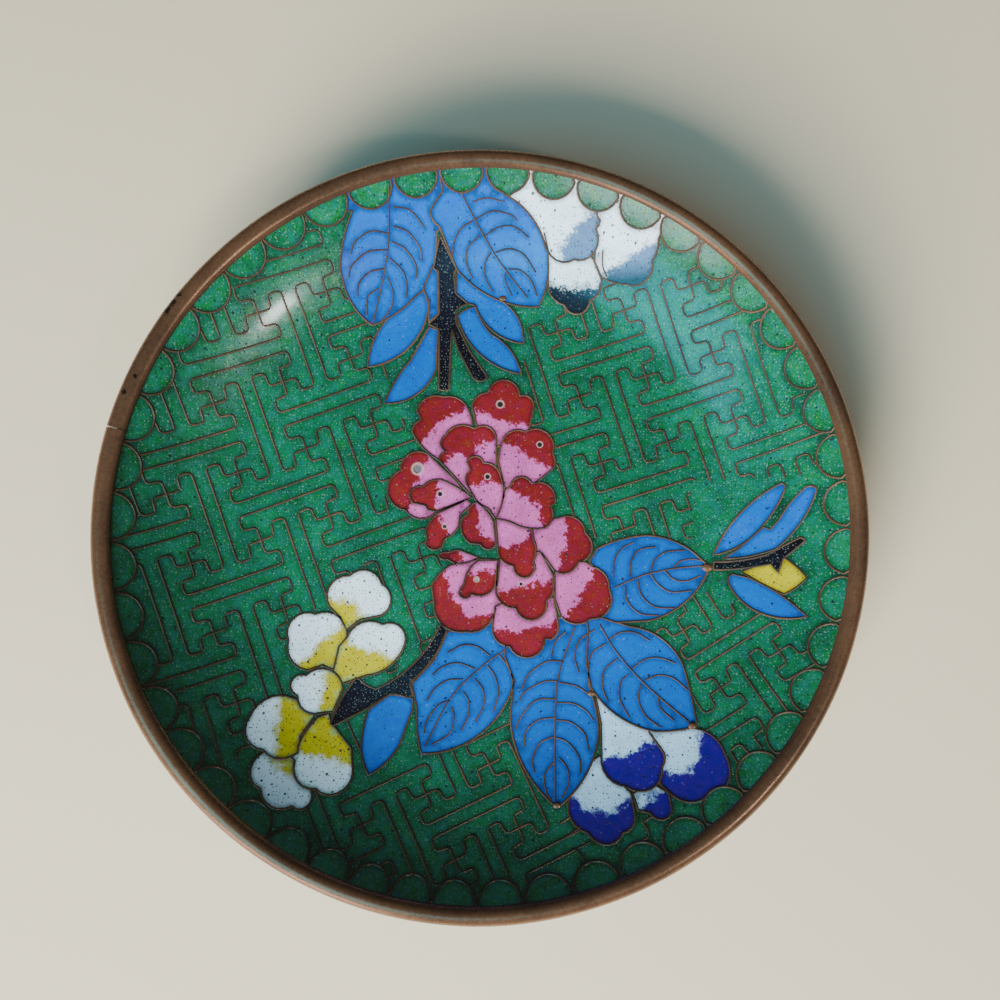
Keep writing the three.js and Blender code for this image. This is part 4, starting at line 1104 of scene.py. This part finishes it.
def enamel_material(name, inner, outer=None, mottle=0.3, drift=0.08, specks=0.25, pits=0.35, grain=0.55,
                    blend=0.15, craters=(), painted_sheen=None, fringe=None):
    """Enamel of one colour, or of two that meet in a grainy edge, with a painted sheen over the outer colour
    where one is given
    """
    if name in bpy.data.materials:
        return bpy.data.materials[name]
    material = bpy.data.materials.new(name)
    material.use_nodes = True
    g = Graph(material.node_tree)
    place = g.millimetres()
    color = rgba(inner)
    if outer is not None:
        powder = g.spread(g.noise(place, 2.6, 3.0, 0.8), 0.25, 0.75, -grain, grain)
        drifted = g.spread(g.noise(place, 0.8, 2.0), 0.3, 0.7, -0.5, 0.5)
        reach = g.math("ADD", g.attribute("outer"), g.math("ADD", powder, drifted))
        outer = rgba(outer)
        # Painted sheen: past the given y in millimetres, the outer colour turns towards the tint, standing in
        # for a reflection
        if painted_sheen is not None:
            tint, low, high = painted_sheen
            height = g.add("ShaderNodeSeparateXYZ", {0: place}).outputs[1]
            outer = g.mix(g.spread(height, low, high), outer, tint)
        color = g.mix(g.spread(reach, -blend, blend), rgba(inner), outer)
    if fringe is not None:
        ragged = g.math("ADD", g.attribute("edge"), g.spread(g.noise(place, 0.6, 3.0), 0.3, 0.7, -0.5, 0.9))
        color = g.mix(g.spread(ragged, -0.2, 0.7, 0.5, 0.0), color, fringe)
    body = g.add("ShaderNodeGroup", {}, node_tree=enamel_group())
    if isinstance(color, bpy.types.NodeSocket):
        g.tree.links.new(color, body.inputs["Color"])
    else:
        body.inputs["Color"].default_value = color
    for label, value in (("Mottle", mottle), ("Drift", drift), ("Specks", specks), ("Pits", pits)):
        body.inputs[label].default_value = value
    g.tree.links.new(g.attribute("edge"), body.inputs["Edge"])
    color, height = body.outputs["Color"], body.outputs["Height"]
    flat = g.flat(place) if craters else None
    for x, y, radius, shade in craters:
        away = g.distance(flat, (x, y, 0))
        ring = g.spread(g.math("ABSOLUTE", g.math("SUBTRACT", away, radius)), 0.0, radius * 0.35, 0.7, 0.0)
        hole = g.spread(away, radius * 0.6, radius * 0.85, 1.0, 0.0)
        color = g.mix(ring, color, CRATER_LIP)
        color = g.mix(hole, color, (shade, shade, shade * 1.1, 1))
        height = g.math("SUBTRACT", height, g.math("MULTIPLY", hole, 0.15))
    return finish_material(material, g, color, body.outputs["Roughness"], height, coat=0.6, gloss=0.5)


def copper_material(name, bright, patina, wear, spots, strength=0.4, streaks=0.0, seam=0.0, metallic=0.6,
                    stains=()):
    """Copper, more or less worn, with dark stains as (x, y, radius) where it has any"""
    if name in bpy.data.materials:
        return bpy.data.materials[name]
    material = bpy.data.materials.new(name)
    material.use_nodes = True
    g = Graph(material.node_tree)
    body = g.add("ShaderNodeGroup", {}, node_tree=copper_group())
    for label, value in (("Bright", rgba(bright)), ("Patina", rgba(patina)), ("Wear", wear),
                         ("Spots", spots), ("Streaks", streaks), ("Seam", seam)):
        body.inputs[label].default_value = value
    color = body.outputs["Color"]
    if stains:
        place = g.millimetres()
        ragged = g.spread(g.noise(place, 1.3, 4.0, 0.7), 0.25, 0.75, -0.6, 0.6)
        flat = g.flat(place)
        for x, y, radius in stains:
            away = g.math("ADD", g.distance(flat, (x, y, 0)), ragged)
            color = g.mix(g.spread(away, radius * 0.7, radius * 1.1, 0.9, 0.0), color, STAIN_COLOUR)
    return finish_material(material, g, color, body.outputs["Roughness"], body.outputs["Height"],
                           metallic=metallic, strength=strength)


# Modelling

def start_clean():
    """Leaves edit mode and deselects everything"""
    if bpy.context.object and bpy.context.object.mode != "OBJECT":
        bpy.ops.object.mode_set(mode="OBJECT")
    bpy.ops.object.select_all(action="DESELECT")


def own(piece, name, material, nodes):
    """Names a finished piece, gives it its finish and ties it to the frame"""
    piece.name = name
    piece.data.name = name
    piece.data.materials.clear()
    piece.data.materials.append(material)
    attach(piece, "root")
    if nodes:
        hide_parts(*nodes)
    return piece


def mesh_object(name, points, edges, faces):
    """A new object with the given mesh, at the origin"""
    mesh = bpy.data.meshes.new(name)
    mesh.from_pydata([tuple(p) for p in points], edges, faces)
    piece = bpy.data.objects.new(name, mesh)
    bpy.context.scene.collection.objects.link(piece)
    return piece


def make_active(piece):
    """Selects one piece and nothing else"""
    start_clean()
    piece.select_set(True)
    bpy.context.view_layer.objects.active = piece


def turned(name, profile, closed, steps=144, angle=2 * math.pi, turn=0.0):
    """Spins a profile of radius and height, in millimetres, about the upright axis"""
    points = [Vector((r * math.cos(turn), r * math.sin(turn), z)) * MM for r, z in profile]
    edges = [(i, i + 1) for i in range(len(points) - 1)]
    if closed:
        edges.append((len(points) - 1, 0))
    piece = mesh_object(name, points, edges, [])
    make_active(piece)
    bpy.ops.object.mode_set(mode="EDIT")
    bpy.ops.mesh.select_all(action="SELECT")
    bpy.ops.mesh.spin(steps=steps, angle=angle, center=(0, 0, 0), axis=(0, 0, 1))
    bpy.ops.mesh.select_all(action="SELECT")
    bpy.ops.mesh.remove_doubles(threshold=1e-6)
    if angle < 2 * math.pi - 1e-6:
        bpy.ops.mesh.select_all(action="DESELECT")
        bpy.ops.mesh.select_non_manifold()
        bpy.ops.mesh.fill_holes(sides=0)
        bpy.ops.mesh.select_all(action="SELECT")
    bpy.ops.mesh.normals_make_consistent(inside=False)
    bpy.ops.object.mode_set(mode="OBJECT")
    bpy.ops.object.shade_smooth_by_angle(angle=math.radians(35))
    return piece


def wires(name, paths, bowl, diameter, sunk):
    """Round wires laid along plan paths and let into the enamel"""
    curve = bpy.data.curves.new(name, "CURVE")
    curve.dimensions = "3D"
    curve.bevel_depth = diameter / 2
    curve.bevel_resolution = 1
    curve.use_fill_caps = True
    for path in paths:
        if len(path) < 2:
            continue
        looped = len(path) > 3 and bool(np.hypot(*(path[0] - path[-1])) < 1e-6)
        if looped:
            path = path[:-1]
        spline = curve.splines.new("POLY")
        spline.points.add(len(path) - 1)
        placed = bowl.place(path, sunk / MM)
        spline.points.foreach_set("co", np.column_stack([placed, np.ones(len(placed))]).ravel())
        spline.use_cyclic_u = looped
    piece = bpy.data.objects.new(name, curve)
    bpy.context.scene.collection.objects.link(piece)
    make_active(piece)
    bpy.ops.object.convert(target="MESH")
    piece = bpy.context.object
    bpy.ops.object.shade_smooth()
    return piece


def solder_lumps(name, bowl):
    """Small uneven lumps of solder where wires meet"""
    lumps = []
    start_clean()
    for index, (x, y, radius) in enumerate(SOLDER):
        spot = bowl.place([(x, y)])[0]
        bpy.ops.mesh.primitive_uv_sphere_add(segments=20, ring_count=10, radius=radius * MM, location=spot)
        lump = bpy.context.object
        bpy.ops.object.mode_set(mode="EDIT")
        bpy.ops.mesh.select_all(action="SELECT")
        bpy.ops.transform.resize(value=(1.2, 0.85, 0.4))
        bpy.ops.transform.vertex_random(offset=radius * MM * 0.12, seed=index)
        bpy.ops.mesh.vertices_smooth(factor=0.5, repeat=2)
        bpy.ops.object.mode_set(mode="OBJECT")
        bpy.ops.object.transform_apply(location=True, rotation=True, scale=True)
        lumps.append(lump)
    for lump in lumps:
        lump.select_set(True)
    bpy.ops.object.join()
    bpy.ops.object.shade_smooth()
    return bpy.context.object


# Distance to the colour line in a field that has none
FAR = 5.0


def field_piece(name, plan, bowl, labels, tree, depth):
    """Enamel fields as one piece, each field an island with its own shading values"""
    points, faces, outer, edge = [], [], [], []
    for label in labels:
        triangles = plan.triangles[plan.labels == label]
        if not len(triangles):
            raise RuntimeError(f"{name}: field {label} has no enamel")
        used, index = np.unique(triangles, return_inverse=True)
        index = index.reshape(triangles.shape) + len(points)
        xy = plan.points[used]
        points += list(bowl.place(xy))
        faces += [tuple(int(i) for i in t) for t in index]
        line = SHADE_LINES.get(FIELDS[label][0]) if label >= 0 else None
        outer += list(side_distance(line, xy)) if line else [FAR] * len(xy)
        edge += [tree.find((x, y, 0))[2] for x, y in xy]
    piece = mesh_object(name, points, [], faces)
    for title, values in (("outer", outer), ("edge", edge)):
        attribute = piece.data.attributes.new(title, "FLOAT", "POINT")
        attribute.data.foreach_set("value", np.array(values, np.float32))
    make_active(piece)
    thick = piece.modifiers.new("Thickness", "SOLIDIFY")
    thick.thickness = depth
    thick.offset = -1
    bpy.ops.object.modifier_apply(modifier=thick.name)
    bpy.ops.object.shade_smooth_by_angle(angle=math.radians(40))
    return piece


def wire_tree(plan):
    """Search tree of points close together along all the wires"""
    paths = plan.cloisons + plan.arcs + plan.frets + plan.veins
    step = 0.2
    dense = []
    for path in paths:
        for start, end in zip(path[:-1], path[1:]):
            count = max(1, math.ceil(float(np.hypot(*(end - start))) / step))
            dense += [start + (end - start) * piece / count for piece in range(count + 1)]
    tree = kdtree.KDTree(len(dense))
    for index, point in enumerate(dense):
        tree.insert((point[0], point[1], 0), index)
    tree.balance()
    return tree


def tree_of(context):
    """The wires' search tree, made once for a plan"""
    _, plan = layout_of(context)
    if not hasattr(plan, "tree"):
        plan.tree = wire_tree(plan)
    return plan.tree


def labels_of(finish):
    """Labels of the fields with one finish"""
    return [index for index, field in enumerate(FIELDS) if field[1] == finish]


def add_fields(context, name, finish, material):
    """Lays all the fields of one finish as one piece, in place of their nodes"""
    bowl, plan = layout_of(context)
    labels = labels_of(finish)
    piece = field_piece(name, plan, bowl, labels, tree_of(context), context.scene.dish_sizes.enamel)
    own(piece, name, material, [FIELDS[label][0] for label in labels])


class DISH_OT_body(bpy.types.Operator):
    """Spin the copper bowl that carries the enamel"""
    bl_idname = "dish.body"
    bl_label = "Copper body"

    def execute(self, context):
        bowl, _ = layout_of(context)
        colours = context.scene.dish_colours
        profile = bowl.face(bowl.copper_back) + bowl.face(bowl.copper_face)[::-1]
        piece = turned("copper_bowl", profile, closed=False)
        material = copper_material("Copper body", colours.copper, colours.patina, wear=0.5, spots=0.3)
        own(piece, "copper_bowl", material, ["copper_body"])
        return {"FINISHED"}


class DISH_OT_rim(bpy.types.Operator):
    """Bend the rim wire round the lip, with its two ends meeting in a seam"""
    bl_idname = "dish.rim"
    bl_label = "Rim wire"

    def execute(self, context):
        bowl, _ = layout_of(context)
        sizes, colours = context.scene.dish_sizes, context.scene.dish_colours
        centre, radius = bowl.rim_centre, bowl.rim
        sides = 28
        profile = [(centre[0] + radius * math.cos(a), centre[1] + radius * math.sin(a))
                   for a in np.arange(sides) * 2 * math.pi / sides]
        gap = sizes.seam_width / MM / centre[0]
        piece = turned("rim_wire_bent", profile, closed=True, steps=240, angle=2 * math.pi - gap,
                       turn=sizes.seam_angle + gap / 2)
        self.unround(piece, centre, radius)
        stains = [(math.cos(math.radians(turn)) * reach, math.sin(math.radians(turn)) * reach, size)
                  for turn, reach, size in RIM_STAINS]
        material = copper_material("Rim copper", colours.copper, colours.patina, wear=0.5, spots=0.35,
                                   strength=0.5, streaks=0.35, seam=sizes.seam_angle, metallic=0.7,
                                   stains=stains)
        own(piece, "rim_wire_bent", material, ["rim_wire"])
        return {"FINISHED"}

    def unround(self, piece, centre, radius):
        """Lets the ring waver a little, and swell inward at the left"""
        waver = 0.07 * MM
        slack = 0.09 * MM
        swell_depth = 0.5 * MM
        swell_turn = math.radians(155)
        spots = np.empty(len(piece.data.vertices) * 3)
        piece.data.vertices.foreach_get("co", spots)
        spots = spots.reshape(-1, 3)
        turn = np.arctan2(spots[:, 1], spots[:, 0])
        reach = np.hypot(spots[:, 0], spots[:, 1])
        wobble = (np.sin(3 * turn + 1.1) * 0.5 + np.sin(7 * turn + 0.4) * 0.3
                  + np.sin(17 * turn + 2.0) * 0.15) * waver
        outward = (reach / MM - centre[0]) / radius
        upward = np.clip((spots[:, 2] / MM - centre[1]) / radius + 0.3, 0, 1)
        swell = np.clip(np.cos(turn - swell_turn), 0, 1) ** 1.5 * swell_depth
        shift = (wobble - slack) * (0.5 + 0.5 * outward) - swell * np.clip(-outward, 0, 1) * upward
        spots[:, 0] += np.cos(turn) * shift
        spots[:, 1] += np.sin(turn) * shift
        piece.data.vertices.foreach_set("co", spots.ravel())
        piece.data.update()


class DISH_OT_foot(bpy.types.Operator):
    """Spin the foot ring with a worn lower edge"""
    bl_idname = "dish.foot"
    bl_label = "Foot ring"

    def execute(self, context):
        bowl, _ = layout_of(context)
        colours = context.scene.dish_colours
        top = bowl.floor - bowl.copper_back - bowl.gap
        inner, outer = bowl.foot_inner, bowl.foot_outer
        soft = 0.25
        profile = [(inner + soft, 0), (outer - soft, 0), (outer - soft * 0.3, soft * 0.3), (outer, soft),
                   (outer, top), (inner, top), (inner, soft), (inner + soft * 0.3, soft * 0.3)]
        piece = turned("foot_ring_turned", profile, closed=True)
        material = copper_material("Foot copper", colours.copper, colours.patina, wear=0.56, spots=0.3)
        own(piece, "foot_ring_turned", material, ["foot_ring"])
        return {"FINISHED"}


class DISH_OT_counter(bpy.types.Operator):
    """Spin the plain enamel of the outside, on the wall and inside the foot ring"""
    bl_idname = "dish.counter"
    bl_label = "Counter-enamel"

    def execute(self, context):
        bowl, _ = layout_of(context)
        material = counter_material(context.scene.dish_colours)
        start = bowl.foot_outer + bowl.gap
        skirt = ([(start, bowl.floor - bowl.counter_back)]
                 + bowl.face(bowl.counter_back)[2:] + bowl.face(bowl.counter_face)[:1:-1]
                 + [(start, bowl.floor - bowl.counter_face)])
        piece = turned("counter_enamel_skirt", skirt, closed=True)
        own(piece, "counter_enamel_skirt", material, ["counter_enamel_wall"])
        edge = bowl.foot_inner - bowl.gap
        low, high = bowl.floor - bowl.counter_back, bowl.floor - bowl.counter_face
        soft = 0.12
        steps = [edge * share for share in (0, 0.2, 0.4, 0.6, 0.8, 0.97)]
        disc = ([(r, low) for r in steps] + [(edge, low + soft), (edge, high)]
                + [(r, high) for r in steps[::-1]])
        piece = turned("counter_enamel_disc", disc, closed=False)
        own(piece, "counter_enamel_disc", material, ["counter_enamel_base"])
        return {"FINISHED"}


def counter_material(colours):
    """The plain enamel of the outside, which has no wires to darken beside"""
    name = "Counter-enamel"
    if name in bpy.data.materials:
        return bpy.data.materials[name]
    material = bpy.data.materials.new(name)
    material.use_nodes = True
    g = Graph(material.node_tree)
    body = g.add("ShaderNodeGroup", {}, node_tree=enamel_group())
    body.inputs["Color"].default_value = rgba(colours.counter)
    body.inputs["Mottle"].default_value = 0.25
    body.inputs["Specks"].default_value = 0.2
    body.inputs["Pits"].default_value = 0.5
    return finish_material(material, g, body.outputs["Color"], body.outputs["Roughness"],
                           body.outputs["Height"], coat=0.5)


class DISH_OT_ground(bpy.types.Operator):
    """Lay the green ground and the scalloped border"""
    bl_idname = "dish.ground"
    bl_label = "Green ground"

    def execute(self, context):
        bowl, plan = layout_of(context)
        sizes, colours = context.scene.dish_sizes, context.scene.dish_colours
        tree = tree_of(context)
        ground = field_piece("green_ground", plan, bowl, [GROUND], tree, sizes.enamel)
        material = enamel_material("Green enamel", colours.ground, mottle=0.5, drift=0.2, specks=0.6,
                                   pits=0.35)
        own(ground, "green_ground", material, ["ground_enamel"])
        border = field_piece("green_border", plan, bowl, [BORDER], tree, sizes.enamel)
        material = enamel_material("Border enamel", colours.border, mottle=0.5, drift=0.25, specks=0.6,
                                   pits=0.4)
        own(border, "green_border", material, [])
        return {"FINISHED"}


class DISH_OT_stems(bpy.types.Operator):
    """Lay the black stems"""
    bl_idname = "dish.stems"
    bl_label = "Stems"

    def execute(self, context):
        colours = context.scene.dish_colours
        material = enamel_material("Black enamel", colours.ink, mottle=0.4, specks=0.8, pits=0.1)
        add_fields(context, "black_stems", "black", material)
        return {"FINISHED"}


class DISH_OT_leaves(bpy.types.Operator):
    """Lay the azure leaves"""
    bl_idname = "dish.leaves"
    bl_label = "Leaves"

    def execute(self, context):
        colours = context.scene.dish_colours
        material = enamel_material("Azure enamel", colours.azure, mottle=0.14, drift=0.03, specks=0.06,
                                   pits=0.18)
        add_fields(context, "azure_leaves", "blue", material)
        return {"FINISHED"}


class DISH_OT_peony(bpy.types.Operator):
    """Lay the red and pink peony petals"""
    bl_idname = "dish.peony"
    bl_label = "Peony"

    def execute(self, context):
        colours = context.scene.dish_colours
        material = enamel_material("Peony enamel", colours.pink, colours.red, mottle=0.3, specks=0.12,
                                   pits=0.3, craters=CRATERS)
        add_fields(context, "peony_petals", "red", material)
        return {"FINISHED"}


class DISH_OT_small_flowers(bpy.types.Operator):
    """Lay the small flowers: white and yellow, white and cobalt, white and black, and the bud"""
    bl_idname = "dish.small_flowers"
    bl_label = "Small flowers"

    def execute(self, context):
        colours = context.scene.dish_colours
        material = enamel_material("White and yellow enamel", colours.yellow, colours.white, mottle=0.12,
                                   drift=0.05, specks=0.05, pits=0.75, grain=0.45, blend=0.55,
                                   fringe=FLOWER_FRINGE)
        add_fields(context, "cream_flowers", "cream", material)
        material = enamel_material("White and cobalt enamel", colours.pale_blue, colours.cobalt, mottle=0.15,
                                   drift=0.03, specks=0.1, pits=0.5, grain=0.45, blend=0.35)
        add_fields(context, "cobalt_flowers", "cobalt", material)
        # The black flower's ink turns grey-blue towards its top, a painted sheen standing in for a reflection
        material = enamel_material("White and black enamel", colours.white, colours.ink, mottle=0.15,
                                   specks=0.2, pits=0.5, grain=0.8, blend=0.5, painted_sheen=(PAINTED_SHEEN_ON_INK, 34.0, 36.5))
        add_fields(context, "dark_flower", "ink", material)
        material = enamel_material("Yellow enamel", colours.yellow, mottle=0.2, specks=0.1, pits=0.3)
        add_fields(context, "yellow_bud_enamel", "yellow", material)
        return {"FINISHED"}


class DISH_OT_wires(bpy.types.Operator):
    """Set the copper wires: outlines, scallops, fretwork, veins and solder"""
    bl_idname = "dish.wires"
    bl_label = "Copper wires"

    def execute(self, context):
        bowl, plan = layout_of(context)
        sizes, colours = context.scene.dish_sizes, context.scene.dish_colours
        material = copper_material("Wire copper", colours.copper, colours.wire, wear=0.34, spots=0.3,
                                   strength=0.2, metallic=0.4)
        sunk = 0.26
        sets = (("outline_wires", plan.cloisons, sizes.outline_wire),
                ("scallop_wires", plan.arcs, sizes.outline_wire),
                ("fret_wires", plan.frets, sizes.fret_wire),
                ("vein_wires", plan.veins, sizes.vein_wire))
        for name, paths, width in sets:
            piece = wires(name, paths, bowl, width, width * sunk)
            own(piece, name, material, [])
        lumps = solder_lumps("solder_lumps", bowl)
        solder = copper_material("Solder", colours.copper, colours.patina, wear=0.62, spots=0.2, strength=0.5)
        own(lumps, "solder_lumps", solder, [])
        return {"FINISHED"}


class DISH_OT_stage(bpy.types.Operator):
    """Set the pale floor, the soft lights and the camera"""
    bl_idname = "dish.stage"
    bl_label = "Stage"

    def execute(self, context):
        start_clean()
        bpy.ops.mesh.primitive_plane_add(size=FLOOR_SIZE, location=(0, 0, 0))
        floor = context.object
        floor.name = "floor"
        material = bpy.data.materials.new("Pale floor")
        material.use_nodes = True
        shader = material.node_tree.nodes["Principled BSDF"]
        shader.inputs["Base Color"].default_value = FLOOR_COLOUR
        shader.inputs["Roughness"].default_value = 0.7
        floor.data.materials.append(material)
        for name, around, above, away, size, power, tint in LAMPS:
            light = bpy.data.lights.new(name, "AREA")
            light.size = size
            light.energy = power
            light.color = tint
            lamp = bpy.data.objects.new(name, light)
            flat = math.cos(math.radians(above)) * away
            lamp.location = (math.cos(math.radians(around)) * flat, math.sin(math.radians(around)) * flat,
                             math.sin(math.radians(above)) * away)
            lamp.rotation_euler = (-lamp.location).to_track_quat("-Z", "Y").to_euler()
            lamp.visible_glossy = name != "window"
            context.scene.collection.objects.link(lamp)
        world = bpy.data.worlds.new("Studio")
        world.use_nodes = True
        world.node_tree.nodes["Background"].inputs["Color"].default_value = ROOM_TINT
        world.node_tree.nodes["Background"].inputs["Strength"].default_value = ROOM_LIGHT
        context.scene.world = world
        data = bpy.data.cameras.new("camera")
        data.lens = LENS
        data.sensor_width = SENSOR
        data.clip_start = 0.005
        camera = bpy.data.objects.new("camera", data)
        camera.location = CAMERA_PLACE
        camera.rotation_euler = (CAMERA_LEAN, 0, 0)
        context.scene.collection.objects.link(camera)
        context.scene.camera = camera
        return {"FINISHED"}


STEPS = (DISH_OT_body, DISH_OT_rim, DISH_OT_foot, DISH_OT_counter, DISH_OT_ground, DISH_OT_stems,
         DISH_OT_leaves, DISH_OT_peony, DISH_OT_small_flowers, DISH_OT_wires, DISH_OT_stage)


class DISH_PT_panel(bpy.types.Panel):
    """Sizes, colours and steps of the dish"""
    bl_idname = "DISH_PT_panel"
    bl_label = "Trinket dish"
    bl_space_type = "VIEW_3D"
    bl_region_type = "UI"
    bl_category = "Dish"

    def draw(self, context):
        for group in (context.scene.dish_sizes, context.scene.dish_colours):
            column = self.layout.column(align=True)
            for name in group.__annotations__:
                column.prop(group, name)
        for step in STEPS:
            self.layout.operator(step.bl_idname)


def register():
    for item in (DishSizes, DishColours, *STEPS, DISH_PT_panel):
        bpy.utils.register_class(item)
    bpy.types.Scene.dish_sizes = bpy.props.PointerProperty(type=DishSizes)
    bpy.types.Scene.dish_colours = bpy.props.PointerProperty(type=DishColours)


def unregister():
    del bpy.types.Scene.dish_colours
    del bpy.types.Scene.dish_sizes
    for item in (DISH_PT_panel, *reversed(STEPS), DishColours, DishSizes):
        bpy.utils.unregister_class(item)


def main():
    register()
    for step in STEPS:
        group, name = step.bl_idname.split(".")
        getattr(getattr(bpy.ops, group), name)()


if __name__ == "__main__":
    main()
